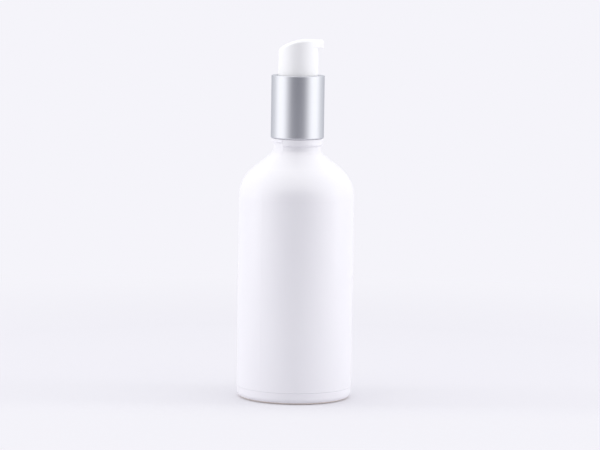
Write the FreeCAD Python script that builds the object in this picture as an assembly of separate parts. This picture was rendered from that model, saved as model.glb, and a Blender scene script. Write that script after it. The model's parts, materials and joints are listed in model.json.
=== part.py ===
"""Pump oil bottle: a white glass bottle with a screw-on treatment pump under a silver collar.

Millimetres, +Z up. The origin is the centre of the base, on the surface that the bottle stands on.
The spout points along +X. Every piece of the pump is a solid of its own, seated as it is assembled.
"""

import FreeCAD
import Part
import math
import os

from FreeCAD import Vector

# Glass bottle
BODY_DIAMETER = 47.0
WALL_TOP = 82.15             # height of the straight wall above the table
SHOULDER_RADIUS = 15.2       # rounding between the wall and the shoulder
SHOULDER_ANGLE = 38.8        # slope of the shoulder above the horizontal, in degrees
NECK_DIAMETER = 19.3
NECK_LENGTH = 2.7            # from the end of the shoulder slope up to the bead
NECK_ROOT_FILLET = 2.4
BEAD_DIAMETER = 20.8         # ring on the neck, just below the collar
BEAD_HEIGHT = 2.15
BEAD_ROUND = 0.7
FINISH_DIAMETER = 16.0       # root of the neck thread
FINISH_LENGTH = 12.0         # neck above the bead
LIP_ROUND = 0.5
MOUTH_BORE = 12.4
GLASS_WALL = 2.4
BASE_THICKNESS = 4.2         # glass over the hollow of the base
HEEL_RADIUS = 2.6
HEEL_LINE = 4.1              # height of the mould joint above the heel
HEEL_STEP = 0.25             # the heel is this much smaller on the radius than the wall
INNER_HEEL_RADIUS = 5.0
INNER_NECK_RADIUS = 4.0
PUNT_DIAMETER = 33.0         # shallow hollow under the base
PUNT_DEPTH = 1.4

# Collar sleeve
SLEEVE_DIAMETER = 21.6
SLEEVE_LENGTH = 25.9
SLEEVE_WALL = 0.5
SLEEVE_TOP_ROUND = 0.7
SLEEVE_ROLL = 0.9            # radius of the rolled bottom edge
SLEEVE_LIP = 0.4             # flat left on the rolled edge, under the closure
SLEEVE_GAP = 0.3             # between the rolled edge and the bead

# Closure
CLOSURE_BORE = 18.2          # inside of the threaded skirt, outside the neck thread
PLATE_THICKNESS = 1.4        # web that clamps the pump on the neck

# Head
SKIRT_DIAMETER = 16.3        # at the bottom of the skirt
HEAD_DIAMETER = 16.0         # the skirt tapers up to this at the spout
HEAD_RISE = 14.5             # top of the head above the collar
HEAD_WALL = 1.0
HEAD_ROUND = 0.9             # rounding along the rim of the thumb pad
PAD_THICKNESS = 1.2
PAD_RADIUS = 22.0            # arch of the thumb pad
PAD_FLAT = 4.5               # the pad is level from here to the spout, measured from the axis
SPOUT_OVERHANG = 2.2         # tip of the spout beyond the side of the head
SPOUT_WIDTH = 6.0
SPOUT_DEPTH = 3.35           # height of the spout at its tip
SPOUT_DROOP = 0.25           # the tip hangs this far below the root
SPOUT_ROOT_FILLET = 1.2
SPOUT_TIP_ROUND = 1.3
SPOUT_BORE = 1.6
SPOUT_BORE_WALL = 0.9
SPOUT_BORE_DROP = 1.8        # axis of the bore below the top of the head
SOCKET_WALL = 1.0
SOCKET_DEPTH = 9.3           # stem engagement in the head
RISER_BORE = 2.4             # from the stem up to the spout bore
RIB_THICKNESS = 0.8
RIB_DEPTH = 5.0              # below the root of the spout
RIB_COUNT = 4

# Pump engine
STROKE = 6.0
STROKE_CLEARANCE = 0.6       # left under the head at the end of the stroke
GASKET_THICKNESS = 1.2
FLANGE_DIAMETER = 15.2
FLANGE_THICKNESS = 1.4
BARREL_BORE = 7.0
BARREL_WALL = 1.2
VENT_DIAMETER = 0.8
GUIDE_PLUG_DIAMETER = 8.4
GUIDE_PLUG_LENGTH = 4.0
GUIDE_HEAD_DIAMETER = 10.0
GUIDE_HEAD_HEIGHT = 1.0
GUIDE_NECK_DIAMETER = 6.4
GUIDE_NECK_HEIGHT = 1.4
STEM_DIAMETER = 4.0
STEM_BORE = 2.0
STEM_SHOULDER_DIAMETER = 5.6
STEM_SHOULDER_HEIGHT = 1.2
PORT_WIDTH = 0.9             # oil ports at the foot of the stem
PORT_HEIGHT = 0.8
PORT_COUNT = 4
PISTON_LENGTH = 5.2
PISTON_WAIST = 5.6
PISTON_SLEEVE = 5.0          # outside of the inner sleeve that rides on the stem
PISTON_LIP = 0.9             # height of each wiper lip
PISTON_LIP_WALL = 0.35
PISTON_LAG = 0.8             # the stem moves this far before the piston follows
PLUG_HEAD_DIAMETER = 5.8
PLUG_HEAD_HEIGHT = 1.0
PLUG_SPIGOT_DIAMETER = 2.6
PLUG_SPIGOT_LENGTH = 3.2
PLUG_FLAT_WIDTH = 1.4        # across the flats that let the oil past
PLUG_NOSE_DIAMETER = 4.0
PLUG_NOSE_LENGTH = 2.4
SPRING_LENGTH = 13.0         # as fitted, with the head up
SPRING_DIAMETER = 5.2        # at the middle of the wire
SPRING_WIRE = 0.55
SPRING_TURNS = 8.0
SPRING_END_TURNS = 0.75      # close-wound turns at each end
SPRING_END_GAP = 0.45        # between close-wound turns
BALL_DIAMETER = 4.0
BALL_LIFT = 1.0
BALL_PLAY = 0.35             # between the ball and the cage around it
CAGE_LIP_HEIGHT = 0.8
CAGE_LIP_BORE = 3.4          # holds the ball in
CAGE_SLOT_WIDTH = 0.9
CAGE_SLOT_COUNT = 4
INLET_BORE = 2.2
INLET_LENGTH = 1.2
TAIL_LENGTH = 9.0
TAIL_WALL = 1.1
TUBE_DIAMETER = 3.4
TUBE_BORE = 2.2
TUBE_STANDOFF = 2.5          # foot of the dip tube above the glass
TUBE_CUT_ANGLE = 35.0        # slant of its cut foot, in degrees

# Clearances
FIT = 0.05                   # pieces pushed together
RUNNING_FIT = 0.03           # round pieces that slide or turn in each other, on the radius
SEAT_GAP = 0.05              # ball or valve face to its seat
GUIDE_CLEARANCE = 0.3        # head skirt in the closure, on the radius
MOLD_ROUND = 0.3             # small rounding on moulded edges

# Heights worked out from the sizes above
BODY_RADIUS = BODY_DIAMETER / 2
SLOPE = math.radians(SHOULDER_ANGLE)
SHOULDER_CORNER = WALL_TOP + SHOULDER_RADIUS * math.tan((math.pi / 2 - SLOPE) / 2)
SLOPE_END = SHOULDER_CORNER + (BODY_RADIUS - NECK_DIAMETER / 2) * math.tan(SLOPE)
BEAD_BOTTOM = SLOPE_END + NECK_LENGTH
BEAD_TOP = BEAD_BOTTOM + BEAD_HEIGHT
FINISH_TOP = BEAD_TOP + FINISH_LENGTH
FLOOR_INSIDE = PUNT_DEPTH + BASE_THICKNESS
FLANGE_BOTTOM = FINISH_TOP + GASKET_THICKNESS
FLANGE_TOP = FLANGE_BOTTOM + FLANGE_THICKNESS
PLATE_TOP = FLANGE_TOP + PLATE_THICKNESS
SLEEVE_BOTTOM = BEAD_TOP + SLEEVE_GAP
SLEEVE_TOP = SLEEVE_BOTTOM + SLEEVE_LENGTH
HEAD_TOP = SLEEVE_TOP + HEAD_RISE
SKIRT_BOTTOM = PLATE_TOP + STROKE + STROKE_CLEARANCE
GUIDE_BOTTOM = FLANGE_TOP - GUIDE_PLUG_LENGTH
GUIDE_TOP = FLANGE_TOP + GUIDE_HEAD_HEIGHT + GUIDE_NECK_HEIGHT
SOCKET_BOTTOM = GUIDE_TOP + STROKE + STROKE_CLEARANCE
STEM_TOP = SOCKET_BOTTOM + SOCKET_DEPTH
SPOUT_AXIS = HEAD_TOP - SPOUT_BORE_DROP
SPOUT_BOTTOM = HEAD_TOP - SPOUT_DEPTH
SHOULDER_BOTTOM = GUIDE_BOTTOM - STEM_SHOULDER_HEIGHT
PISTON_TOP = SHOULDER_BOTTOM - PISTON_LAG - SEAT_GAP
PISTON_BOTTOM = PISTON_TOP - PISTON_LENGTH
PLUG_BOTTOM = PISTON_BOTTOM - PLUG_HEAD_HEIGHT
LEDGE = PLUG_BOTTOM - SPRING_LENGTH
CAGE_TOP = LEDGE - CAGE_LIP_HEIGHT
BALL_RADIUS = BALL_DIAMETER / 2
BALL_CENTRE = CAGE_TOP - SEAT_GAP - BALL_LIFT - BALL_RADIUS
CAGE_RADIUS = BALL_RADIUS + BALL_PLAY
SEAT_CONE_APEX = BALL_CENTRE - SEAT_GAP - BALL_RADIUS * math.sqrt(2)
INLET_TOP = SEAT_CONE_APEX + INLET_BORE / 2
TUBE_TOP = INLET_TOP - INLET_LENGTH
TAIL_BOTTOM = TUBE_TOP - TAIL_LENGTH
TUBE_FOOT = FLOOR_INSIDE + TUBE_STANDOFF
BARREL_RADIUS = BARREL_BORE / 2 + BARREL_WALL
COLLET_RADIUS = GUIDE_PLUG_DIAMETER / 2 + BARREL_WALL

# Radii worked out from the sizes above
SLEEVE_BORE_RADIUS = SLEEVE_DIAMETER / 2 - SLEEVE_WALL
CLOSURE_RADIUS = SLEEVE_BORE_RADIUS - FIT
TOWER_RADIUS = SKIRT_DIAMETER / 2 + GUIDE_CLEARANCE
SOCKET_RADIUS = STEM_DIAMETER / 2 + RUNNING_FIT
SPOUT_REACH = HEAD_DIAMETER / 2 + SPOUT_OVERHANG


def rounded_edges(corners):
    """Edges of a closed outline of (radius, height, rounding) corners, in the XZ plane."""
    points = [Vector(radius, 0, height) for radius, height, _ in corners]
    joins = []
    for index, (_, _, rounding) in enumerate(corners):
        here = points[index]
        before = (points[index - 1] - here).normalize()
        after = (points[(index + 1) % len(points)] - here).normalize()
        if rounding == 0:
            joins.append((here, here, here))
            continue
        half = before.getAngle(after) / 2
        reach = rounding / math.tan(half)
        centre_way = (before + after).normalize()
        middle = here + centre_way * (rounding / math.sin(half) - rounding)
        joins.append((here + before * reach, middle, here + after * reach))
    edges = []
    for index, (start, middle, end) in enumerate(joins):
        if not start.isEqual(end, 1e-7):
            edges.append(Part.Arc(start, middle, end).toShape())
        following = joins[(index + 1) % len(joins)][0]
        if not end.isEqual(following, 1e-7):
            edges.append(Part.LineSegment(end, following).toShape())
    return edges


def turned(corners):
    """Solid of revolution about Z of a closed outline of (radius, height, rounding) corners."""
    face = Part.Face(Part.Wire(rounded_edges(corners)))
    return face.revolve(Vector(0, 0, 0), Vector(0, 0, 1), 360)


def rod(radius, bottom, top):
    """Upright cylinder on the axis."""
    return Part.makeCylinder(radius, top - bottom, Vector(0, 0, bottom))


def bar_across(width, depth, reach, bottom, angle):
    """Upright bar from the axis out to reach, turned about Z by angle in degrees."""
    bar = Part.makeBox(reach, width, depth, Vector(0, -width / 2, bottom))
    bar.rotate(Vector(0, 0, 0), Vector(0, 0, 1), angle)
    return bar


def make_bottle():
    """Glass bottle: stepped heel, straight wall, round shoulder, bead and plain neck, hollow inside."""
    neck_radius = NECK_DIAMETER / 2
    heel_radius = BODY_RADIUS - HEEL_STEP
    inner_radius = BODY_RADIUS - GLASS_WALL
    mouth_radius = MOUTH_BORE / 2
    slope_drop = GLASS_WALL / math.cos(SLOPE)
    inner_corner = SHOULDER_CORNER - slope_drop + GLASS_WALL * math.tan(SLOPE)
    inner_slope_end = inner_corner + (inner_radius - mouth_radius) * math.tan(SLOPE)
    return turned([
        (0, PUNT_DEPTH, 0),
        (PUNT_DIAMETER / 2 - PUNT_DEPTH, PUNT_DEPTH, PUNT_DEPTH),
        (PUNT_DIAMETER / 2, 0, 0),
        (heel_radius, 0, HEEL_RADIUS),
        (heel_radius, HEEL_LINE, 0),
        (BODY_RADIUS, HEEL_LINE + HEEL_STEP, 0),
        (BODY_RADIUS, SHOULDER_CORNER, SHOULDER_RADIUS),
        (neck_radius, SLOPE_END, NECK_ROOT_FILLET),
        (neck_radius, BEAD_BOTTOM, MOLD_ROUND),
        (BEAD_DIAMETER / 2, BEAD_BOTTOM, BEAD_ROUND),
        (BEAD_DIAMETER / 2, BEAD_TOP, BEAD_ROUND),
        (FINISH_DIAMETER / 2, BEAD_TOP, MOLD_ROUND),
        (FINISH_DIAMETER / 2, FINISH_TOP, LIP_ROUND),
        (mouth_radius, FINISH_TOP, LIP_ROUND),
        (mouth_radius, inner_slope_end, INNER_NECK_RADIUS),
        (inner_radius, inner_corner, SHOULDER_RADIUS - GLASS_WALL),
        (inner_radius, FLOOR_INSIDE, INNER_HEEL_RADIUS),
        (0, FLOOR_INSIDE, 0),
    ])


def make_collar_sleeve():
    """Drawn aluminium sleeve: a flanged top with a hole for the head, and a rolled bottom edge."""
    outer = SLEEVE_DIAMETER / 2
    inner = SLEEVE_BORE_RADIUS
    hole = TOWER_RADIUS + FIT
    lip = outer - SLEEVE_ROLL - SLEEVE_LIP
    return turned([
        (hole, SLEEVE_TOP, 0),
        (outer, SLEEVE_TOP, SLEEVE_TOP_ROUND),
        (outer, SLEEVE_BOTTOM, SLEEVE_ROLL),
        (lip, SLEEVE_BOTTOM, 0),
        (lip, SLEEVE_BOTTOM + SLEEVE_WALL, 0),
        (inner, SLEEVE_BOTTOM + SLEEVE_WALL, SLEEVE_ROLL - SLEEVE_WALL),
        (inner, SLEEVE_TOP - SLEEVE_WALL, SLEEVE_TOP_ROUND - SLEEVE_WALL),
        (hole, SLEEVE_TOP - SLEEVE_WALL, 0),
    ])


def make_closure():
    """Screw closure: a skirt over the neck, a web that clamps the pump, a tower around the head."""
    bottom = SLEEVE_BOTTOM + SLEEVE_WALL + FIT
    top = SLEEVE_TOP - SLEEVE_WALL - FIT
    hole = GUIDE_HEAD_DIAMETER / 2 + FIT
    return turned([
        (CLOSURE_BORE / 2, bottom, MOLD_ROUND),
        (CLOSURE_RADIUS, bottom, SLEEVE_ROLL - SLEEVE_WALL),
        (CLOSURE_RADIUS, top, MOLD_ROUND),
        (TOWER_RADIUS, top, MOLD_ROUND),
        (TOWER_RADIUS, PLATE_TOP, MOLD_ROUND),
        (hole, PLATE_TOP, 0),
        (hole, FLANGE_TOP, 0),
        (CLOSURE_BORE / 2, FLANGE_TOP, MOLD_ROUND),
    ])


def make_gasket():
    """Flat sealing ring between the mouth of the bottle and the flange of the pump."""
    return turned([
        (COLLET_RADIUS + FIT, FINISH_TOP, 0),
        (FLANGE_DIAMETER / 2, FINISH_TOP, 0),
        (FLANGE_DIAMETER / 2, FLANGE_BOTTOM, 0),
        (COLLET_RADIUS + FIT, FLANGE_BOTTOM, 0),
    ])


def make_housing():
    """Pump housing: flange, barrel, ball cage with its cone seat, and a tail for the dip tube."""
    bore = BARREL_BORE / 2
    plug_bore = GUIDE_PLUG_DIAMETER / 2 + FIT
    tube_bore = TUBE_DIAMETER / 2 + FIT
    tail = tube_bore + TAIL_WALL
    cage_wall = CAGE_RADIUS + BARREL_WALL
    seat_rim = SEAT_CONE_APEX + CAGE_RADIUS
    collet_bottom = GUIDE_BOTTOM - BARREL_WALL
    housing = turned([
        (plug_bore, FLANGE_TOP, 0),
        (FLANGE_DIAMETER / 2, FLANGE_TOP, MOLD_ROUND),
        (FLANGE_DIAMETER / 2, FLANGE_BOTTOM, 0),
        (COLLET_RADIUS, FLANGE_BOTTOM, 0),
        (COLLET_RADIUS, collet_bottom, MOLD_ROUND),
        (BARREL_RADIUS, collet_bottom - (COLLET_RADIUS - BARREL_RADIUS), 0),
        (BARREL_RADIUS, LEDGE - BARREL_WALL, MOLD_ROUND),
        (cage_wall, LEDGE - BARREL_WALL - (BARREL_RADIUS - cage_wall), 0),
        (cage_wall, INLET_TOP, 0),
        (tail, INLET_TOP - (cage_wall - tail), 0),
        (tail, TAIL_BOTTOM, MOLD_ROUND),
        (tube_bore, TAIL_BOTTOM, 0),
        (tube_bore, TUBE_TOP, 0),
        (INLET_BORE / 2, TUBE_TOP, 0),
        (INLET_BORE / 2, INLET_TOP, 0),
        (CAGE_RADIUS, seat_rim, 0),
        (CAGE_RADIUS, CAGE_TOP, 0),
        (CAGE_LIP_BORE / 2, CAGE_TOP, 0),
        (CAGE_LIP_BORE / 2, LEDGE, 0),
        (bore, LEDGE, 0),
        (bore, GUIDE_BOTTOM, 0),
        (plug_bore, GUIDE_BOTTOM, 0),
    ])
    for index in range(CAGE_SLOT_COUNT):
        angle = 360 / CAGE_SLOT_COUNT * index
        housing = housing.cut(bar_across(CAGE_SLOT_WIDTH, CAGE_LIP_HEIGHT, CAGE_RADIUS, CAGE_TOP, angle))
    vent_height = (SHOULDER_BOTTOM + PISTON_TOP) / 2
    vent_start = Vector(0, 0, vent_height)
    vent = Part.makeCylinder(VENT_DIAMETER / 2, COLLET_RADIUS + FIT, vent_start, Vector(0, 1, 0))
    return housing.cut(vent)


def make_stem_guide():
    """Bush in the mouth of the housing that guides the stem and holds the piston in."""
    bore = STEM_DIAMETER / 2 + RUNNING_FIT
    head_top = FLANGE_TOP + GUIDE_HEAD_HEIGHT
    return turned([
        (bore, GUIDE_BOTTOM, 0),
        (GUIDE_PLUG_DIAMETER / 2, GUIDE_BOTTOM, MOLD_ROUND),
        (GUIDE_PLUG_DIAMETER / 2, FLANGE_TOP, 0),
        (GUIDE_HEAD_DIAMETER / 2, FLANGE_TOP, 0),
        (GUIDE_HEAD_DIAMETER / 2, head_top, MOLD_ROUND),
        (GUIDE_NECK_DIAMETER / 2, head_top, MOLD_ROUND),
        (GUIDE_NECK_DIAMETER / 2, GUIDE_TOP, MOLD_ROUND),
        (bore, GUIDE_TOP, MOLD_ROUND),
    ])


def make_stem():
    """Hollow stem with a stop shoulder, a wider foot bore for the plug, and oil ports at the foot."""
    radius = STEM_DIAMETER / 2
    shoulder = STEM_SHOULDER_DIAMETER / 2
    bore = STEM_BORE / 2
    foot_bore = PLUG_SPIGOT_DIAMETER / 2 + FIT
    step = PISTON_BOTTOM + PLUG_SPIGOT_LENGTH + FIT
    stem = turned([
        (bore, STEM_TOP, 0),
        (radius, STEM_TOP, MOLD_ROUND),
        (radius, GUIDE_BOTTOM, 0),
        (shoulder, GUIDE_BOTTOM, 0),
        (shoulder, SHOULDER_BOTTOM, 0),
        (radius, SHOULDER_BOTTOM, 0),
        (radius, PISTON_BOTTOM, 0),
        (foot_bore, PISTON_BOTTOM, 0),
        (foot_bore, step, 0),
        (bore, step, 0),
    ])
    for index in range(PORT_COUNT):
        angle = 360 / PORT_COUNT * (index + 0.5)
        stem = stem.cut(bar_across(PORT_WIDTH, PORT_HEIGHT, STEM_DIAMETER, PISTON_BOTTOM, angle))
    return stem


def make_piston():
    """Sliding piston: a sleeve on the stem with a thin wiper lip at each end."""
    bore = STEM_DIAMETER / 2 + RUNNING_FIT
    sleeve = PISTON_SLEEVE / 2
    waist = PISTON_WAIST / 2
    lip = BARREL_BORE / 2 - RUNNING_FIT
    groove = lip - PISTON_LIP_WALL
    return turned([
        (bore, PISTON_BOTTOM, 0),
        (sleeve, PISTON_BOTTOM, 0),
        (sleeve, PISTON_BOTTOM + PISTON_LIP, 0),
        (groove, PISTON_BOTTOM, 0),
        (lip, PISTON_BOTTOM, 0),
        (lip, PISTON_BOTTOM + PISTON_LIP, 0),
        (waist, PISTON_BOTTOM + PISTON_LIP + (lip - waist), MOLD_ROUND),
        (waist, PISTON_TOP - PISTON_LIP - (lip - waist), MOLD_ROUND),
        (lip, PISTON_TOP - PISTON_LIP, 0),
        (lip, PISTON_TOP, 0),
        (groove, PISTON_TOP, 0),
        (sleeve, PISTON_TOP - PISTON_LIP, 0),
        (sleeve, PISTON_TOP, 0),
        (bore, PISTON_TOP, 0),
    ])


def make_stem_plug():
    """Valve plug in the foot of the stem: a head that shuts on the piston, and a nose in the spring."""
    head = PLUG_HEAD_DIAMETER / 2
    nose = PLUG_NOSE_DIAMETER / 2
    head_and_nose = turned([
        (0, PISTON_BOTTOM, 0),
        (head, PISTON_BOTTOM, 0),
        (head, PLUG_BOTTOM, 0),
        (nose, PLUG_BOTTOM, MOLD_ROUND),
        (nose, PLUG_BOTTOM - PLUG_NOSE_LENGTH, MOLD_ROUND),
        (0, PLUG_BOTTOM - PLUG_NOSE_LENGTH, 0),
    ])
    spigot = rod(PLUG_SPIGOT_DIAMETER / 2, PISTON_BOTTOM, PISTON_BOTTOM + PLUG_SPIGOT_LENGTH)
    across = Part.makeBox(
        PLUG_FLAT_WIDTH, PLUG_SPIGOT_DIAMETER, PLUG_SPIGOT_LENGTH,
        Vector(-PLUG_FLAT_WIDTH / 2, -PLUG_SPIGOT_DIAMETER / 2, PISTON_BOTTOM),
    )
    return head_and_nose.fuse(spigot.common(across)).removeSplitter()


def spring_point(turn):
    """Middle of the wire after a number of turns, and its direction of travel."""
    close_pitch = SPRING_WIRE + SPRING_END_GAP
    open_turns = SPRING_TURNS - 2 * SPRING_END_TURNS
    rise = SPRING_LENGTH - SPRING_WIRE
    extra = rise - close_pitch * SPRING_TURNS
    share = min(max((turn - SPRING_END_TURNS) / open_turns, 0), 1)
    climb = close_pitch * turn + extra * (share - math.sin(2 * math.pi * share) / (2 * math.pi))
    pitch = close_pitch + extra / open_turns * (1 - math.cos(2 * math.pi * share))
    angle = 2 * math.pi * turn
    radius = SPRING_DIAMETER / 2
    point = Vector(radius * math.cos(angle), radius * math.sin(angle), LEDGE + SPRING_WIRE / 2 + climb)
    way = Vector(-radius * math.sin(angle), radius * math.cos(angle), pitch / (2 * math.pi)).normalize()
    return point, way


def tangent_arc(start, way, end):
    """Arc from start, leaving along way, to end."""
    chord = end - start
    reach = chord.Length ** 2 / (2 * chord.dot(way))
    corner = start + way * reach
    middle = (start + end) * 0.5
    lean = math.asin(chord.Length / 2 / reach)
    inset = reach / math.cos(lean) - reach * math.tan(lean)
    return Part.Arc(start, corner + (middle - corner).normalize() * inset, end).toShape()


def biarc(start, start_way, end, end_way):
    """Two arcs that leave start along start_way, meet smoothly and reach end along end_way."""
    span = end - start
    ways = start_way + end_way
    bend = 2 * (1 - start_way.dot(end_way))
    along = span.dot(ways)
    reach = (-along + math.sqrt(along ** 2 + bend * span.dot(span))) / bend
    meeting = (start + end + (start_way - end_way) * reach) * 0.5
    return [tangent_arc(start, start_way, meeting), tangent_arc(end, end_way * -1, meeting)]


def make_return_spring():
    """Compression spring with close-wound ends, from the ledge of the housing up to the plug."""
    steps_per_turn = 4
    count = round(SPRING_TURNS * steps_per_turn)
    stations = [spring_point(SPRING_TURNS * index / count) for index in range(count + 1)]
    edges = []
    for (start, start_way), (end, end_way) in zip(stations, stations[1:]):
        edges += biarc(start, start_way, end, end_way)
    path = Part.Wire(Part.__sortEdges__(edges))
    first, first_way = stations[0]
    section = Part.Wire(Part.makeCircle(SPRING_WIRE / 2, first, first_way))
    spring = path.makePipeShell([section], True, False)
    samples = [spring_point(turn / 24)[0] for turn in range(round(SPRING_TURNS * 24) + 1)]
    far_apart = 12
    gap = min(
        here.distanceToPoint(other) - SPRING_WIRE
        for index, here in enumerate(samples)
        for other in samples[index + far_apart:]
    )
    print(f"spring: least gap between turns {gap:.2f}, volume {spring.Volume:.2f}, "
          f"section times length {math.pi * SPRING_WIRE ** 2 / 4 * path.Length:.2f}")
    return spring


def make_inlet_ball():
    """Check ball over the inlet of the housing."""
    return Part.makeSphere(BALL_RADIUS, Vector(0, 0, BALL_CENTRE))


def make_dip_tube():
    """Dip tube from the tail of the housing to just above the floor, its foot cut on a slant."""
    radius = TUBE_DIAMETER / 2
    tube = rod(radius, TUBE_FOOT, TUBE_TOP).cut(rod(TUBE_BORE / 2, TUBE_FOOT, TUBE_TOP))
    slant_rise = TUBE_DIAMETER * math.tan(math.radians(TUBE_CUT_ANGLE))
    wedge_outline = Part.makePolygon([
        Vector(-radius, -TUBE_DIAMETER, TUBE_FOOT),
        Vector(radius, -TUBE_DIAMETER, TUBE_FOOT),
        Vector(radius, -TUBE_DIAMETER, TUBE_FOOT + slant_rise),
        Vector(-radius, -TUBE_DIAMETER, TUBE_FOOT),
    ])
    wedge = Part.Face(wedge_outline).extrude(Vector(0, 2 * TUBE_DIAMETER, 0))
    return tube.cut(wedge)


def under_pad(drop):
    """Block whose top is the thumb pad lowered by drop: level at the spout, arched behind it."""
    side = -HEAD_DIAMETER
    level = HEAD_TOP - drop
    radius = PAD_RADIUS - drop
    centre = Vector(PAD_FLAT, side, level - radius)
    lean = math.asin((PAD_FLAT + HEAD_DIAMETER / 2 + HEAD_ROUND) / PAD_RADIUS)
    back = centre + Vector(-math.sin(lean), 0, math.cos(lean)) * radius
    middle = centre + Vector(-math.sin(lean / 2), 0, math.cos(lean / 2)) * radius
    start = Vector(PAD_FLAT, side, level)
    front = Vector(SPOUT_REACH + HEAD_ROUND, side, level)
    corners = [start, front, Vector(front.x, side, SKIRT_BOTTOM), Vector(back.x, side, SKIRT_BOTTOM), back]
    edges = [Part.LineSegment(here, there).toShape() for here, there in zip(corners, corners[1:])]
    edges.append(Part.Arc(back, middle, start).toShape())
    return Part.Face(Part.Wire(edges)).extrude(Vector(0, 2 * HEAD_DIAMETER, 0))


def head_plan(height):
    """Outline of the pad and the spout from above: a circle that flows into a round-cornered spout."""
    radius = HEAD_DIAMETER / 2
    half = SPOUT_WIDTH / 2
    fillet = SPOUT_ROOT_FILLET
    tip = SPOUT_TIP_ROUND
    fillet_x = math.sqrt((radius + fillet) ** 2 - (half + fillet) ** 2)
    diagonal = math.sqrt(0.5)
    fillet_centre = Vector(fillet_x, half + fillet, height)
    to_circle = Vector(-fillet_x, -half - fillet, 0).normalize()
    fillet_middle = fillet_centre + (to_circle + Vector(0, -1, 0)).normalize() * fillet
    circle_point = fillet_centre + to_circle * fillet
    tip_middle = Vector(SPOUT_REACH - tip + tip * diagonal, half - tip + tip * diagonal, height)

    def mirrored(point):
        return Vector(point.x, -point.y, point.z)

    tip_start = Vector(SPOUT_REACH, half - tip, height)
    tip_end = Vector(SPOUT_REACH - tip, half, height)
    side_end = Vector(fillet_x, half, height)
    return Part.Wire([
        Part.LineSegment(mirrored(tip_start), tip_start).toShape(),
        Part.Arc(tip_start, tip_middle, tip_end).toShape(),
        Part.LineSegment(tip_end, side_end).toShape(),
        Part.Arc(side_end, fillet_middle, circle_point).toShape(),
        Part.Arc(circle_point, Vector(-radius, 0, height), mirrored(circle_point)).toShape(),
        Part.Arc(mirrored(circle_point), mirrored(fillet_middle), mirrored(side_end)).toShape(),
        Part.LineSegment(mirrored(side_end), mirrored(tip_end)).toShape(),
        Part.Arc(mirrored(tip_end), mirrored(tip_middle), mirrored(tip_start)).toShape(),
    ])


def pad_rim(head):
    """Edges around the top of the pad and the spout."""
    def on_pad(face):
        if isinstance(face.Surface, Part.Cylinder):
            return abs(face.Surface.Radius - PAD_RADIUS) < 1e-6
        return isinstance(face.Surface, Part.Plane) and abs(face.CenterOfMass.z - HEAD_TOP) < 1e-6

    edges = [edge for face in head.Faces if on_pad(face) for edge in face.Edges]
    return [edge for edge in edges if sum(edge.isSame(other) for other in edges) == 1]


def head_outside():
    """Outer form of the head: tapered skirt, arched thumb pad, and a spout whose tip hangs a little."""
    above = HEAD_TOP + HEAD_ROUND
    radius = HEAD_DIAMETER / 2
    foot = Vector(0, 0, SKIRT_BOTTOM)
    skirt = Part.makeCone(SKIRT_DIAMETER / 2, radius, SPOUT_BOTTOM - SKIRT_BOTTOM, foot)
    top = Part.Face(head_plan(SPOUT_BOTTOM)).extrude(Vector(0, 0, above - SPOUT_BOTTOM))
    droop_outline = Part.makePolygon([
        Vector(0, -SPOUT_WIDTH, SPOUT_BOTTOM),
        Vector(SPOUT_REACH, -SPOUT_WIDTH, SPOUT_BOTTOM),
        Vector(radius, -SPOUT_WIDTH, SPOUT_BOTTOM + SPOUT_DROOP),
        Vector(0, -SPOUT_WIDTH, SPOUT_BOTTOM + SPOUT_DROOP),
        Vector(0, -SPOUT_WIDTH, SPOUT_BOTTOM),
    ])
    droop = Part.Face(droop_outline).extrude(Vector(0, 2 * SPOUT_WIDTH, 0))
    top = top.cut(droop.cut(rod(radius, SKIRT_BOTTOM, above)))
    head = skirt.fuse(top).removeSplitter().common(under_pad(0))
    return head.makeFillet(HEAD_ROUND, pad_rim(head))


def make_head():
    """Pump head: hollow under the pad, with a stem socket, a bore out to the spout, and ribs."""
    outside = head_outside()
    inner = HEAD_DIAMETER / 2 - HEAD_WALL
    skirt_hollow = Part.makeCone(
        SKIRT_DIAMETER / 2 - HEAD_WALL, inner, SPOUT_BOTTOM - SKIRT_BOTTOM, Vector(0, 0, SKIRT_BOTTOM),
    )
    hollow = skirt_hollow.fuse(rod(inner, SPOUT_BOTTOM, HEAD_TOP)).common(under_pad(PAD_THICKNESS))
    inside = [rod(SOCKET_RADIUS + SOCKET_WALL, SOCKET_BOTTOM, HEAD_TOP)]
    inside.append(Part.makeCylinder(
        SPOUT_BORE / 2 + SPOUT_BORE_WALL, inner + HEAD_WALL / 2, Vector(0, 0, SPOUT_AXIS), Vector(1, 0, 0),
    ))
    rib_bottom = SPOUT_BOTTOM - RIB_DEPTH
    for index in range(RIB_COUNT):
        angle = 360 / RIB_COUNT * (index + 0.5)
        rib_height = HEAD_TOP - rib_bottom
        inside.append(bar_across(RIB_THICKNESS, rib_height, inner + HEAD_WALL / 2, rib_bottom, angle))
    fittings = inside[0].multiFuse(inside[1:]).common(outside)
    head = outside.cut(hollow).fuse(fittings)
    spout_start = Vector(0, 0, SPOUT_AXIS)
    spout_bore = Part.makeCylinder(SPOUT_BORE / 2, SPOUT_REACH + HEAD_ROUND, spout_start, Vector(1, 0, 0))
    riser = rod(RISER_BORE / 2, STEM_TOP, SPOUT_AXIS)
    bores = rod(SOCKET_RADIUS, SOCKET_BOTTOM, STEM_TOP).multiFuse([riser, spout_bore])
    return head.cut(bores).removeSplitter()


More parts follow.
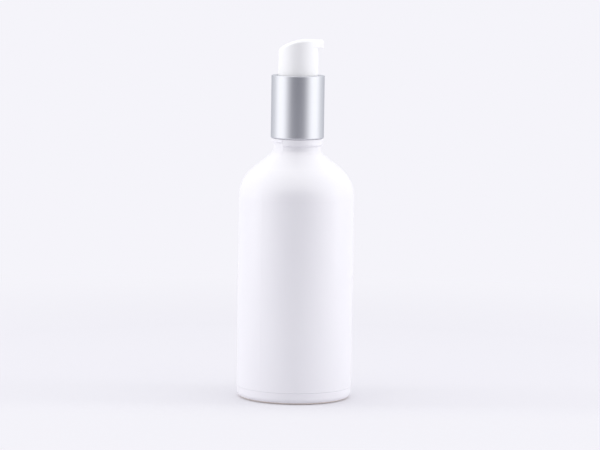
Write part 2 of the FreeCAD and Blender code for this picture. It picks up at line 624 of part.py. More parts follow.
def main():
    os.makedirs("parts", exist_ok=True)
    pieces = {
        "bottle": make_bottle(),
        "neck_gasket": make_gasket(),
        "closure_cap": make_closure(),
        "collar_sleeve": make_collar_sleeve(),
        "pump_housing": make_housing(),
        "stem_guide": make_stem_guide(),
        "stem": make_stem(),
        "stem_plug": make_stem_plug(),
        "piston": make_piston(),
        "return_spring": make_return_spring(),
        "inlet_ball": make_inlet_ball(),
        "dip_tube": make_dip_tube(),
        "pump_head": make_head(),
    }
    for name, shape in pieces.items():
        print(f"{name}: valid {shape.isValid()}, solids {len(shape.Solids)}, volume {shape.Volume:.1f}, "
              f"z {shape.BoundBox.ZMin:.2f} to {shape.BoundBox.ZMax:.2f}")
        shape.exportStep(f"parts/{name}.step")


main()
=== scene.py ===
import json
import logging
import math
from dataclasses import dataclass
from enum import Enum
from typing import Any, Mapping, Optional, Sequence, Union

import bpy
import numpy as np
from mathutils import Matrix, Vector


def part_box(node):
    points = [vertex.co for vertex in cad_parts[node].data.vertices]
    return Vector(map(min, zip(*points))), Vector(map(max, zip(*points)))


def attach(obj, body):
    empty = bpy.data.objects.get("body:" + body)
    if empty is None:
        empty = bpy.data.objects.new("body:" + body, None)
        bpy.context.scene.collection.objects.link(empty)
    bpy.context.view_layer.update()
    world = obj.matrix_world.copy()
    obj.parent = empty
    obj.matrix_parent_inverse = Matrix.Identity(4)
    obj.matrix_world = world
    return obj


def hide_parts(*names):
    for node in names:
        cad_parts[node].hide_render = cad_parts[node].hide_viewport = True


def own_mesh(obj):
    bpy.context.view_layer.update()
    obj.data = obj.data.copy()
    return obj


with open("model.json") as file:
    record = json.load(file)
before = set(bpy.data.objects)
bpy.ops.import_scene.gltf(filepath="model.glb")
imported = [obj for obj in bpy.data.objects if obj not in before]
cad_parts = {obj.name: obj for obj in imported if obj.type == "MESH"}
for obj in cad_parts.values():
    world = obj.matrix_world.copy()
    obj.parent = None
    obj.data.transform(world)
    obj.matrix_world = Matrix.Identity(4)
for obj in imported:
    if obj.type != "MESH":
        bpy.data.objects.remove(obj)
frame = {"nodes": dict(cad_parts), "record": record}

log = logging.getLogger("pump_bottle")
MM = 0.001
Colour = tuple[float, float, float]
Scale = tuple[float, float, float]
Place = tuple[float, float, float]
Corner = tuple[float, float, float]
Limits = tuple[float, float]
Size = tuple[float, float]
Row = Union[float, np.ndarray]

# Points of an outline: turn between the points of an arc, fewest points on it, guards at the ends of a run
ARC_STEP = math.radians(7.0)
ARC_POINTS = 5
RUN_GUARD = 0.04
GUARD_SHARE = 0.125
SHORT_RUN = 0.1
SAME_POINT = 1e-6

# Least value that a number is divided by
TINY = 1e-9


class Body(Enum):
    """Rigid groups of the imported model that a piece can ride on."""

    BOTTLE = "bottle"
    PUMP = "pump"
    CLOSURE = "closure"
    HEAD = "head"


class Signal:
    """One shader output that can be used in Python expressions; each operator adds a Math node."""

    def __init__(self, recipe: "Recipe", socket: bpy.types.NodeSocket) -> None:
        """Keeps the socket and the recipe that it belongs to."""
        self.recipe = recipe
        self.socket = socket

    def _math(self, operation: str, first: Any, second: Any) -> "Signal":
        """Adds a Math node.

        Args:
            operation: name of the Math node's operation.
            first: left value, a number or a signal.
            second: right value, a number or a signal.
        Returns:
            The result as a signal.
        """
        made = self.recipe.node("ShaderNodeMath", {"operation": operation}, {0: first, 1: second})
        return Signal(self.recipe, made.outputs[0])

    def __add__(self, other: Any) -> "Signal":
        """Sum."""
        return self._math("ADD", self, other)

    __radd__ = __add__

    def __sub__(self, other: Any) -> "Signal":
        """Difference."""
        return self._math("SUBTRACT", self, other)

    def __rsub__(self, other: Any) -> "Signal":
        """Difference with the number first."""
        return self._math("SUBTRACT", other, self)

    def __mul__(self, other: Any) -> "Signal":
        """Product."""
        return self._math("MULTIPLY", self, other)

    __rmul__ = __mul__

    def larger(self, other: Any) -> "Signal":
        """The larger of the two values."""
        return self._math("MAXIMUM", self, other)


Input = Union[Signal, float, Sequence[float]]


class Recipe:
    """Node tree of one finish, or of the world."""

    def __init__(self, tree: bpy.types.NodeTree) -> None:
        """Starts from an empty tree."""
        self.tree = tree
        tree.nodes.clear()

    @classmethod
    def for_material(cls, name: str) -> tuple["Recipe", bpy.types.Material]:
        """Makes a material with an empty tree.

        Args:
            name: name of the material.
        Returns:
            The recipe and its material.
        """
        material = bpy.data.materials.new(name)
        material.use_nodes = True
        return cls(material.node_tree), material

    def node(
        self,
        kind: str,
        settings: Optional[Mapping[str, Any]] = None,
        sockets: Optional[Mapping[Union[str, int], Input]] = None,
    ) -> bpy.types.Node:
        """Adds any node.

        Args:
            kind: Blender's name of the node type.
            settings: the node's own settings, set first.
            sockets: value or link of each input, by name or number.
        Returns:
            The node.
        """
        made = self.tree.nodes.new(kind)
        for name, value in (settings or {}).items():
            setattr(made, name, value)
        for key, value in (sockets or {}).items():
            if isinstance(value, Signal):
                self.tree.links.new(value.socket, made.inputs[key])
            else:
                made.inputs[key].default_value = value
        return made

    def signal(self, kind: str, output: Union[str, int], settings: Optional[Mapping[str, Any]] = None,
               sockets: Optional[Mapping[Union[str, int], Input]] = None) -> Signal:
        """Adds a node and gives one of its outputs, by name or number."""
        return Signal(self, self.node(kind, settings, sockets).outputs[output])

    def place(self) -> Signal:
        """Position on the piece in metres."""
        return self.signal("ShaderNodeTexCoord", "Object")

    def rays(self, *kinds: str) -> tuple[Signal, ...]:
        """Signals that are 1 for rays of these kinds, by the names of the light path's outputs."""
        path = self.node("ShaderNodeLightPath")
        return tuple(Signal(self, path.outputs[kind]) for kind in kinds)

    def stretched(self, scale: Scale) -> Signal:
        """Position on the piece, scaled along X, Y and Z."""
        return self.signal("ShaderNodeMapping", 0, None, {"Vector": self.place(), "Scale": scale})

    def noise(self, where: Signal, scale: float, detail: float = 2.0, roughness: float = 0.5) -> Signal:
        """Noise from 0 to 1.

        Args:
            where: position that the noise reads.
            scale: features per metre.
            detail: number of finer layers.
            roughness: share of each finer layer.
        Returns:
            The noise value.
        """
        sockets = {"Vector": where, "Scale": scale, "Detail": detail, "Roughness": roughness}
        return self.signal("ShaderNodeTexNoise", 0, None, sockets)

    def parts(self, vector: Signal) -> tuple[Signal, ...]:
        """X, Y and Z of a vector."""
        split = self.node("ShaderNodeSeparateXYZ", None, {0: vector})
        return tuple(Signal(self, output) for output in split.outputs)

    def ramp(self, value: Signal, start: float, end: float) -> Signal:
        """Smooth rise from 0 where value is start to 1 where it is end."""
        settings = {"interpolation_type": "SMOOTHSTEP"}
        return self.signal("ShaderNodeMapRange", 0, settings, {0: value, 1: start, 2: end, 3: 0.0, 4: 1.0})

    def mixed(self, share: Input, low: Input, high: Input) -> Signal:
        """Colour between low and high by share."""
        settings = {"data_type": "RGBA"}
        return self.signal("ShaderNodeMix", 2, settings, {0: share, 6: low, 7: high})

    def bump(self, height: Signal, distance: float, strength: float = 1.0,
             under: Optional[Signal] = None) -> Signal:
        """Normal bent by a height.

        Args:
            height: height from 0 to 1.
            distance: height of 1, in metres.
            strength: share of the bend that is used.
            under: normal that this one lies on.
        Returns:
            The bent normal.
        """
        sockets: dict[Union[str, int], Input] = {"Height": height, "Distance": distance, "Strength": strength}
        if under is not None:
            sockets["Normal"] = under
        return self.signal("ShaderNodeBump", "Normal", None, sockets)

    def surface(self, sockets: Mapping[Union[str, int], Input]) -> None:
        """Ends the tree with a Principled surface that has these inputs."""
        shader = self.signal("ShaderNodeBsdfPrincipled", 0, None, sockets)
        self.node("ShaderNodeOutputMaterial", None, {"Surface": shader})


def opaque(colour: Colour) -> tuple[float, float, float, float]:
    """Colour with full alpha."""
    return (*colour, 1.0)


@dataclass(frozen=True)
class OpalGlass:
    """White opal glass with a satin skin: faint clouds, uneven gloss, a fine orange peel and a warm foot."""

    body: Colour = (0.845, 0.835, 0.87)
    cloud: Colour = (0.825, 0.815, 0.855)
    cloud_scale: float = 45.0
    cloud_detail: float = 3.0
    foot: Colour = (0.90, 0.79, 0.70)
    foot_limits: Limits = (1.1 * MM, 0.25 * MM)
    roughness: float = 0.27
    roughness_spread: float = 0.06
    patch_scale: float = 160.0
    index: float = 1.55
    coat: float = 0.4
    coat_roughness: float = 0.2
    peel_scale: float = 700.0
    peel_mix: float = 0.4
    peel_height: float = 0.012 * MM
    peel_strength: float = 0.6

    def material(self) -> bpy.types.Material:
        """Builds the material.

        Returns:
            The material, named for its slot.
        """
        recipe, made = Recipe.for_material("opal_glass")
        where = recipe.place()
        clouds = recipe.noise(where, self.cloud_scale, self.cloud_detail)
        white = recipe.mixed(clouds, opaque(self.body), opaque(self.cloud))
        near_floor = recipe.ramp(recipe.parts(where)[2], *self.foot_limits)
        patches = recipe.noise(where, self.patch_scale)
        peel = recipe.noise(where, self.peel_scale, roughness=self.peel_mix)
        recipe.surface({
            "Base Color": recipe.mixed(near_floor, white, opaque(self.foot)),
            "Roughness": self.roughness + self.roughness_spread * patches,
            "IOR": self.index,
            "Coat Weight": self.coat,
            "Coat Roughness": self.coat_roughness,
            "Normal": recipe.bump(peel, self.peel_height, self.peel_strength),
        })
        return made


@dataclass(frozen=True)
class SatinAluminium:
    """Anodised aluminium: a satin etch with very fine lathe lines round the sleeve."""

    metal: Colour = (0.755, 0.765, 0.80)
    shade: Colour = (0.725, 0.735, 0.775)
    grazing_tint: Colour = (0.7, 0.71, 0.74)
    line_scale: Scale = (30.0, 30.0, 5200.0)
    line_mix: float = 0.6
    etch_scale: float = 2600.0
    roughness: float = 0.27
    line_roughness: float = 0.06
    etch_roughness: float = 0.04
    line_height: float = 0.004 * MM
    line_strength: float = 0.4
    etch_strength: float = 0.5

    def material(self) -> bpy.types.Material:
        """Builds the material.

        Returns:
            The material, named for its slot.
        """
        recipe, made = Recipe.for_material("satin_aluminium")
        lines = recipe.noise(recipe.stretched(self.line_scale), 1.0, roughness=self.line_mix)
        etch = recipe.noise(recipe.place(), self.etch_scale)
        lined = recipe.bump(lines, self.line_height, self.line_strength)
        recipe.surface({
            "Base Color": recipe.mixed(lines, opaque(self.metal), opaque(self.shade)),
            "Metallic": 1.0,
            "Specular Tint": opaque(self.grazing_tint),
            "Roughness": self.roughness + self.line_roughness * lines + self.etch_roughness * etch,
            "Normal": recipe.bump(etch, self.line_height, self.etch_strength, lined),
        })
        return made


@dataclass(frozen=True)
class MouldedPlastic:
    """Moulded plastic: a spark-eroded skin, faint flow marks and a light unevenness in gloss."""

    name: str
    tint: Colour
    flow: Colour
    roughness: float
    roughness_spread: float = 0.08
    gloss_scale: float = 210.0
    streak_scale: Scale = (90.0, 90.0, 25.0)
    streak_detail: float = 3.0
    grain_scale: float = 2400.0
    grain_mix: float = 0.6
    grain_height: float = 0.006 * MM
    grain_strength: float = 0.5
    index: float = 1.49
    translucency: float = 0.0
    scatter: float = 2.0 * MM
    clearness: float = 0.0

    def material(self) -> bpy.types.Material:
        """Builds the material.

        Returns:
            The material, named for its slot.
        """
        recipe, made = Recipe.for_material(self.name)
        streaks = recipe.noise(recipe.stretched(self.streak_scale), 1.0, self.streak_detail)
        grain = recipe.noise(recipe.place(), self.grain_scale, roughness=self.grain_mix)
        gloss = recipe.noise(recipe.place(), self.gloss_scale)
        recipe.surface({
            "Base Color": recipe.mixed(streaks, opaque(self.tint), opaque(self.flow)),
            "Roughness": self.roughness - self.roughness_spread / 2 + self.roughness_spread * gloss,
            "IOR": self.index,
            "Subsurface Weight": self.translucency,
            "Subsurface Radius": (self.scatter, self.scatter, self.scatter),
            "Subsurface Scale": 1.0,
            "Transmission Weight": self.clearness,
            "Normal": recipe.bump(grain, self.grain_height, self.grain_strength),
        })
        return made


@dataclass(frozen=True)
class GasketFoam:
    """Closed-cell foam: small round cells with darker walls."""

    light: Colour = (0.84, 0.84, 0.83)
    dark: Colour = (0.70, 0.70, 0.70)
    cell_scale: float = 2600.0
    cell_height: float = 0.05 * MM
    cell_strength: float = 0.6
    roughness: float = 0.75
    roughness_spread: float = 0.15

    def material(self) -> bpy.types.Material:
        """Builds the material.

        Returns:
            The material, named for its slot.
        """
        recipe, made = Recipe.for_material("gasket_foam")
        sockets = {"Vector": recipe.place(), "Scale": self.cell_scale}
        cells = recipe.signal("ShaderNodeTexVoronoi", "Distance", None, sockets)
        recipe.surface({
            "Base Color": recipe.mixed(cells, opaque(self.light), opaque(self.dark)),
            "Roughness": self.roughness + self.roughness_spread * cells,
            "Normal": recipe.bump(cells, self.cell_height, self.cell_strength),
        })
        return made


@dataclass(frozen=True)
class DrawnWire:
    """Drawn spring steel: fine draw lines that follow the turns, and small dull patches."""

    bright: Colour = (0.62, 0.62, 0.64)
    dull: Colour = (0.48, 0.48, 0.50)
    line_scale: Scale = (300.0, 300.0, 9000.0)
    line_detail: float = 3.0
    line_mix: float = 0.6
    patch_scale: float = 900.0
    roughness: float = 0.22
    line_roughness: float = 0.10
    patch_roughness: float = 0.08
    line_height: float = 0.004 * MM
    line_strength: float = 0.5

    def material(self) -> bpy.types.Material:
        """Builds the material.

        Returns:
            The material, named for its slot.
        """
        recipe, made = Recipe.for_material("spring_steel")
        lines = recipe.noise(recipe.stretched(self.line_scale), 1.0, self.line_detail, self.line_mix)
        patches = recipe.noise(recipe.place(), self.patch_scale)
        recipe.surface({
            "Base Color": recipe.mixed(lines, opaque(self.bright), opaque(self.dull)),
            "Metallic": 1.0,
            "Roughness": self.roughness + self.line_roughness * lines + self.patch_roughness * patches,
            "Normal": recipe.bump(lines, self.line_height, self.line_strength),
        })
        return made


@dataclass(frozen=True)
class PolishedSteel:
    """Polished steel ball with faint lapping marks."""

    metal: Colour = (0.72, 0.72, 0.74)
    mark: Colour = (0.64, 0.64, 0.67)
    mark_scale: Scale = (900.0, 5200.0, 900.0)
    mark_detail: float = 3.0
    mark_mix: float = 0.7
    roughness: float = 0.06
    mark_roughness: float = 0.10

    def material(self) -> bpy.types.Material:
        """Builds the material.

        Returns:
            The material, named for its slot.
        """
        recipe, made = Recipe.for_material("ball_steel")
        marks = recipe.noise(recipe.stretched(self.mark_scale), 1.0, self.mark_detail, self.mark_mix)
        recipe.surface({
            "Base Color": recipe.mixed(marks, opaque(self.metal), opaque(self.mark)),
            "Metallic": 1.0,
            "Roughness": self.roughness + self.mark_roughness * marks,
        })
        return made


@dataclass(frozen=True)
class Finishes:
    """The finish of each material slot."""

    glass: bpy.types.Material
    aluminium: bpy.types.Material
    white: bpy.types.Material
    natural: bpy.types.Material
    soft: bpy.types.Material
    tube: bpy.types.Material
    foam: bpy.types.Material
    wire: bpy.types.Material
    ball: bpy.types.Material

    @classmethod
    def make(cls) -> "Finishes":
        """Builds every material once.

        Returns:
            The finishes.
        """
        return cls(
            glass=OpalGlass().material(),
            aluminium=SatinAluminium().material(),
            white=MouldedPlastic("white_plastic", tint=(0.90, 0.90, 0.91), flow=(0.88, 0.88, 0.895),
                                 roughness=0.34).material(),
            natural=MouldedPlastic("natural_plastic", tint=(0.80, 0.81, 0.79), flow=(0.75, 0.76, 0.74),
                                   roughness=0.42, translucency=0.3).material(),
            soft=MouldedPlastic("soft_plastic", tint=(0.84, 0.84, 0.81), flow=(0.79, 0.79, 0.76),
                                roughness=0.52, translucency=0.4).material(),
            tube=MouldedPlastic("tube_plastic", tint=(0.86, 0.88, 0.88), flow=(0.81, 0.84, 0.84),
                                roughness=0.36, clearness=0.15).material(),
            foam=GasketFoam().material(),
            wire=DrawnWire().material(),
            ball=PolishedSteel().material(),
        )


@dataclass
class Surface:
    """Vertices in metres with four-cornered and three-cornered faces."""

    points: np.ndarray
    quads: np.ndarray
    triangles: np.ndarray

    @classmethod
    def grid(cls, points: np.ndarray, wrap_rows: bool, wrap_columns: bool) -> "Surface":
        """Joins a grid of points by faces.

        Args:
            points: array of rows by columns by 3.
            wrap_rows: True where the last row joins the first.
            wrap_columns: True where the last column joins the first.
        Returns:
            The surface.
        """
        rows, columns = points.shape[:2]
        down = np.arange(rows if wrap_rows else rows - 1)
        across = np.arange(columns if wrap_columns else columns - 1)
        row, column = np.meshgrid(down, across, indexing="ij")
        below, right = (row + 1) % rows, (column + 1) % columns
        quads = np.stack([row * columns + column, row * columns + right,
                          below * columns + right, below * columns + column], axis=-1)
        return cls(points.reshape(-1, 3), quads.reshape(-1, 4), np.zeros((0, 3), int))

    def capped(self, start: Sequence[float], end: Sequence[float]) -> "Surface":
        """Closes the first and the last row with fans and points every face out.

        Args:
            start: where the fan of the first row meets.
            end: where the fan of the last row meets.
        Returns:
            The closed surface.
        """
        columns = int(self.quads[0, 3] - self.quads[0, 0])
        ring = np.arange(columns)
        last = len(self.points) - columns + ring
        first_fan = np.stack([np.roll(ring, -1), ring, np.full(columns, len(self.points))], axis=-1)
        last_fan = np.stack([last, np.roll(last, -1), np.full(columns, len(self.points) + 1)], axis=-1)
        points = np.vstack([self.points, [start], [end]])
        return Surface(points, self.quads, np.vstack([first_fan, last_fan])).outward()

    def outward(self) -> "Surface":
        """Same closed surface with every face pointing out.

        Each edge is walked once each way, so the faces agree; a negative signed volume turns them all.

        Returns:
            The surface.
        """
        corners = np.vstack([self.quads[:, [0, 1, 2]], self.quads[:, [0, 2, 3]], self.triangles])
        a, b, c = (self.points[corners[:, i]] for i in range(3))
        if np.einsum("ij,ij->", a, np.cross(b, c)) < 0:
            return Surface(self.points, self.quads[:, ::-1], self.triangles[:, ::-1])
        return self

    def compact(self) -> "Surface":
        """Leaves out the points that no face uses.

        Returns:
            The surface.
        """
        corners = np.concatenate([self.quads.ravel(), self.triangles.ravel()])
        used, places = np.unique(corners, return_inverse=True)
        quads, triangles = np.split(places, [self.quads.size])
        return Surface(self.points[used], quads.reshape(-1, 4), triangles.reshape(-1, 3))

    def placed(self, name: str, material: bpy.types.Material) -> bpy.types.Object:
        """Makes a smooth-shaded Blender object and links it to the scene.

        Args:
            name: name of the object.
            material: its finish.
        Returns:
            The object.
        """
        mesh = bpy.data.meshes.new(name)
        mesh.from_pydata(self.points.tolist(), [], self.quads.tolist() + self.triangles.tolist())
        mesh.validate()
        mesh.polygons.foreach_set("use_smooth", np.ones(len(mesh.polygons), bool))
        mesh.materials.append(material)
        mesh.update()
        made = bpy.data.objects.new(name, mesh)
        bpy.context.scene.collection.objects.link(made)
        return made

    def piece(self, name: str, material: bpy.types.Material, body: Body, slot: str,
              replaces: Sequence[str] = ()) -> bpy.types.Object:
        """Makes the object of a piece and lets it ride.

        Args:
            name: name of the piece.
            material: its finish.
            body: what it moves with.
            slot: the record's material slot; not used.
            replaces: CAD nodes that it stands for.
        Returns:
            The object.
        """
        made = self.placed(name, material)
        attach(made, body.value)
        if replaces:
            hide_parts(*replaces)
        log.info("%s: %d points on %s", name, len(self.points), body.value)
        return made


def rounded_outline(corners: Sequence[Corner], step: float, closed: bool) -> np.ndarray:
    """Samples an outline of straight runs with tangent arcs at its corners.

    At a corner of opening 2h an arc of radius q touches both runs at q / tan(h) from the corner. Runs have
    points close to both ends, so that smooth shading keeps them straight.

    Args:
        corners: (radius, height, rounding) of each corner, in millimetres.
        step: largest distance between points on a run, in millimetres.
        closed: True where the last corner joins the first.
    Returns:
        Array of (radius, height) in millimetres.
    """
    points = np.array([corner[:2] for corner in corners], float)
    arcs: list[np.ndarray] = []
    for index, (_, _, rounding) in enumerate(corners):
        here = points[index]
        is_end = not closed and index in (0, len(corners) - 1)
        if rounding == 0 or is_end:
            arcs.append(here[None, :])
            continue
        before = points[index - 1] - here
        after = points[(index + 1) % len(points)] - here
        before, after = before / np.linalg.norm(before), after / np.linalg.norm(after)
        half = math.acos(float(np.clip(before @ after, -1.0, 1.0))) / 2
        bisector = (before + after) / np.linalg.norm(before + after)
        centre = here + bisector * rounding / math.sin(half)
        start = here + before * rounding / math.tan(half) - centre
        end = here + after * rounding / math.tan(half) - centre
        sweep = math.pi - 2 * half
        count = max(ARC_POINTS, int(sweep / ARC_STEP) + 1, int(sweep * rounding / step) + 1)
        turn = np.linspace(0.0, sweep, count)[:, None]
        arcs.append(centre + (start * np.sin(sweep - turn) + end * np.sin(turn)) / math.sin(sweep))
    samples: list[np.ndarray] = []
    last = len(arcs) if closed else len(arcs) - 1
    for index, arc in enumerate(arcs):
        samples.append(arc)
        if index == last:
            break
        start, end = arc[-1], arcs[(index + 1) % len(arcs)][0]
        length = float(np.linalg.norm(end - start))
        if length < SHORT_RUN:
            continue
        guard = min(RUN_GUARD, length * GUARD_SHARE)
        inner = np.linspace(guard, length - guard, max(2, int(length / step) + 1)) / length
        samples.append(start + (end - start) * inner[:, None])
    outline = np.vstack(samples)
    moved = np.linalg.norm(np.diff(outline, axis=0), axis=1) > SAME_POINT
    return outline[np.concatenate([[True], moved])]


def ring(angles: np.ndarray, radius: Row, height: Row) -> np.ndarray:
    """Rows of points round Z: x = r cos a, y = r sin a, z = h, for numbers or rows of radii and heights."""
    x, y = radius * np.cos(angles), radius * np.sin(angles)
    return np.stack([x, y, np.broadcast_to(height, x.shape)], axis=-1)


def turned(outline: np.ndarray, angles: np.ndarray) -> np.ndarray:
    """Carries an outline in millimetres round Z, as rows of the outline by angles, in metres."""
    return ring(angles, outline[:, :1], outline[:, 1:]) * MM


def even_angles(count: int) -> np.ndarray:
    """Evenly spaced angles of one turn."""
    return np.linspace(0.0, 2 * math.pi, count, endpoint=False)


def wrapped(angles: np.ndarray) -> np.ndarray:
    """Same angles, brought between minus and plus half a turn."""
    return (angles + math.pi) % (2 * math.pi) - math.pi


def shares(count: int) -> np.ndarray:
    """Evenly spaced shares from 0 to 1, one a row."""
    return np.linspace(0.0, 1.0, count)[:, None]


def smooth(share: np.ndarray) -> np.ndarray:
    """Smooth rise 3 t^2 - 2 t^3 of a share t, which is kept between 0 and 1."""
    kept = np.clip(share, 0.0, 1.0)
    return kept * kept * (3 - 2 * kept)


@dataclass
class ScrewRidge:
    """Screw ridge on a round wall, inside or outside, with run-outs into the wall; sizes in millimetres."""

    wall: float
    crest: float
    start: float
    pitch: float
    turns: float
    foot_width: float
    crest_width: float
    phase: float = 0.0
    sunk: float = 0.15
    run_out: float = 0.12
    end_width: float = 0.35
    foot_round: float = 0.05
    crest_round: float = 0.18
    section_step: float = 0.3
    steps_a_turn: int = 96

    def surface(self) -> Surface:
        """Builds the closed ridge.

        Along the turns a the height is start + pitch a / 2 pi. The section is a trapezium between the wall
        and the crest, scaled by a smooth rise and fall at the two ends.

        Returns:
            The surface, in metres.
        """
        side = math.copysign(1.0, self.crest - self.wall)
        share = np.linspace(0.0, 1.0, int(self.turns * self.steps_a_turn) + 1)
        angle = 2 * math.pi * (self.turns * share + self.phase)
        swell = smooth(np.minimum(share, 1 - share) / self.run_out)[:, None]
        reach, foot, crest = abs(self.crest - self.wall), self.foot_width / 2, self.crest_width / 2
        section = rounded_outline([
            (-self.sunk, -foot, 0.0), (0.0, -foot, self.foot_round),
            (reach, -crest, self.crest_round), (reach, crest, self.crest_round),
            (0.0, foot, self.foot_round), (-self.sunk, foot, 0.0),
        ], self.section_step, True)
        out = np.where(section[:, 0] > 0, section[:, 0] * swell, section[:, 0] * np.ones_like(swell))
        radius = self.wall + side * out
        width = self.end_width + (1 - self.end_width) * swell
        height = self.start + self.pitch * self.turns * share[:, None] + section[:, 1] * width
        points = ring(angle[:, None], radius, height) * MM
        return Surface.grid(points, False, True).capped(points[0].mean(axis=0), points[-1].mean(axis=0))


@dataclass
class Bottle:
    """Opal glass bottle with its mould seams, heel line, bead, neck thread and stippled bearing ring.

    Sizes are in millimetres and angles in degrees. The bead's step starts above the slope and the seams above
    the heel line, and both end below the top of the bead.
    """

    # Wall and shoulder
    radius: float = 23.485
    wall_top: float = 82.15
    shoulder_radius: float = 15.2
    shoulder_angle: float = 38.8
    glass: float = 2.4
    floor: float = 5.6
    floor_round: float = 5.0
    outline_step: float = 2.0

    # Foot
    heel_radius: float = 2.5
    heel_line: float = 4.7
    heel_step: float = 0.18
    heel_crease: float = 0.12
    heel_edge: float = 0.2
    punt_radius: float = 16.5
    punt_depth: float = 1.4
    punt_edge: float = 0.25
    stipples: int = 72
    stipple_depth: float = 0.12
    stipple_columns: int = 4
    stipple_top: float = 0.3

    # Neck and bead
    neck_radius: float = 9.65
    neck_length: float = 2.7
    neck_fillet: float = 2.4
    bead_radius: float = 10.4
    bead_height: float = 2.84
    bead_round: float = 0.9
    bead_top_round: float = 0.3
    bead_lean: float = 0.28
    bead_crease: float = 0.5
    bead_step: float = 1.3
    bead_step_width: float = 0.8
    bead_step_start: float = 0.5
    bead_step_end: float = 0.3

    # Screw neck and mouth
    screw_radius: float = 8.0
    screw_top: float = 16.85
    screw_crease: float = 0.3
    mouth_radius: float = 6.2
    lip_round: float = 0.5
    throat_round: float = 4.0
    thread_crest: float = 8.85
    thread_pitch: float = 3.0
    thread_drop: float = 7.2
    thread_turns: float = 1.6
    thread_foot: float = 1.5
    thread_tip: float = 0.6

    # Mould seams
    seam_azimuth: float = 234.0
    seam_height: float = 0.045
    neck_seam_height: float = 0.11
    seam_width: float = 0.22
    seam_start: float = 0.4
    seam_end: float = 0.2
    seam_spread: float = 3.0
    seam_columns: int = 13
    column_gap: float = 0.06

    def levels(self) -> dict[str, float]:
        """Works out the heights that follow from the sizes.

        Returns:
            Heights by name, in millimetres.
        """
        slope = math.radians(self.shoulder_angle)
        corner = self.wall_top + self.shoulder_radius * math.tan((math.pi / 2 - slope) / 2)
        slope_end = corner + (self.radius - self.neck_radius) * math.tan(slope)
        bead = slope_end + self.neck_length
        inner_corner = corner - self.glass / math.cos(slope) + self.glass * math.tan(slope)
        inner_end = inner_corner + (self.radius - self.glass - self.mouth_radius) * math.tan(slope)
        return {"corner": corner, "slope_end": slope_end, "bead": bead, "bead_top": bead + self.bead_height,
                "top": slope_end + self.screw_top, "inner_corner": inner_corner, "inner_end": inner_end}

    def seams(self) -> np.ndarray:
        """Angles of the two mould seams, in radians."""
        return np.radians(self.seam_azimuth) + np.array([0.0, math.pi])

    def angles(self) -> np.ndarray:
        """Spaces the columns: some to each stipple, and closer together across both mould seams.

        Returns:
            The angles, in radians.
        """
        even = even_angles(self.stipples * self.stipple_columns)
        spread = self.seam_spread * self.seam_width / self.radius
        across = np.linspace(-spread, spread, self.seam_columns)
        extra = (self.seams()[:, None] + across[None, :]).ravel() % (2 * math.pi)
        nearest = np.min(np.abs(wrapped(even[:, None] - extra[None, :])), axis=1)
        return np.sort(np.concatenate([even[nearest > math.radians(self.column_gap)], extra]))

    def from_seam(self, angles: np.ndarray) -> np.ndarray:
        """Angle of each column from the nearest mould seam."""
        return np.abs(wrapped(angles[:, None] - self.seams()[None, :])).min(axis=1)

    def outline(self) -> np.ndarray:
        """Half section of the glass, from the middle of the punt, over the lip, to the middle of the floor.

        Returns:
            Array of (radius, height) in millimetres.
        """
        at = self.levels()
        inner = self.radius - self.glass
        heel = self.radius - self.heel_step
        return rounded_outline([
            (0.0, self.punt_depth, 0.0),
            (self.punt_radius - self.punt_depth, self.punt_depth, self.punt_depth),
            (self.punt_radius, 0.0, self.punt_edge),
            (heel, 0.0, self.heel_radius),
            (heel, self.heel_line, self.heel_crease),
            (self.radius, self.heel_line + self.heel_step, self.heel_edge),
            (self.radius, at["corner"], self.shoulder_radius),
            (self.neck_radius, at["slope_end"], self.neck_fillet),
            (self.neck_radius, at["bead"] - self.bead_lean, self.bead_crease),
            (self.bead_radius, at["bead"] + self.bead_lean, self.bead_round),
            (self.bead_radius, at["bead_top"], self.bead_top_round),
            (self.screw_radius, at["bead_top"], self.screw_crease),
            (self.screw_radius, at["top"], self.lip_round),
            (self.mouth_radius, at["top"], self.lip_round),
            (self.mouth_radius, at["inner_end"], self.throat_round),
            (inner, at["inner_corner"], self.shoulder_radius - self.glass),
            (inner, self.floor, self.floor_round),
            (0.0, self.floor, 0.0),
        ], self.outline_step, False)

    def seam_growth(self, outline: np.ndarray, angles: np.ndarray) -> np.ndarray:
        """Growth of the outside at the mould seams.

        Each seam is a ridge h exp(-(d / w)^2) of the arc distance d from it, and it is higher on the neck.

        Args:
            outline: (radius, height) of the outside's rows, in millimetres.
            angles: angles of the columns.
        Returns:
            Factor of the radius, as rows by columns.
        """
        at = self.levels()
        radius, height = outline[:, :1], outline[:, 1:]
        seamed = (height > self.heel_line + self.seam_start) & (height < at["bead_top"] - self.seam_end)
        peak = np.where(height > at["slope_end"], self.neck_seam_height, self.seam_height)
        ridge = np.exp(-(self.from_seam(angles) * radius / self.seam_width) ** 2) * peak
        return 1 + np.where(seamed, ridge / radius, 0.0)

    def bead_rise(self, outline: np.ndarray, angles: np.ndarray) -> np.ndarray:
        """Rise of the bead's lower edge on one mould half, which leaves a thinner bead there.

        It comes in by 3 t^2 - 2 t^3 across each seam, and fades out towards the slope and the bead's top.

        Args:
            outline: (radius, height) of the outside's rows, in millimetres.
            angles: angles of the columns.
        Returns:
            The rise in millimetres, as rows by columns.
        """
        at = self.levels()
        side = np.sign(np.sin(self.seams()[0] - angles))
        half = smooth(0.5 + side * self.from_seam(angles) * self.bead_radius / self.bead_step_width)
        stops = [at["slope_end"] + self.bead_step_start, at["bead"] - self.bead_lean,
                 at["bead"] + self.bead_lean, at["bead_top"] - self.bead_step_end]
        return np.interp(outline[:, 1:], stops, [0.0, 1.0, 1.0, 0.0]) * half * self.bead_step

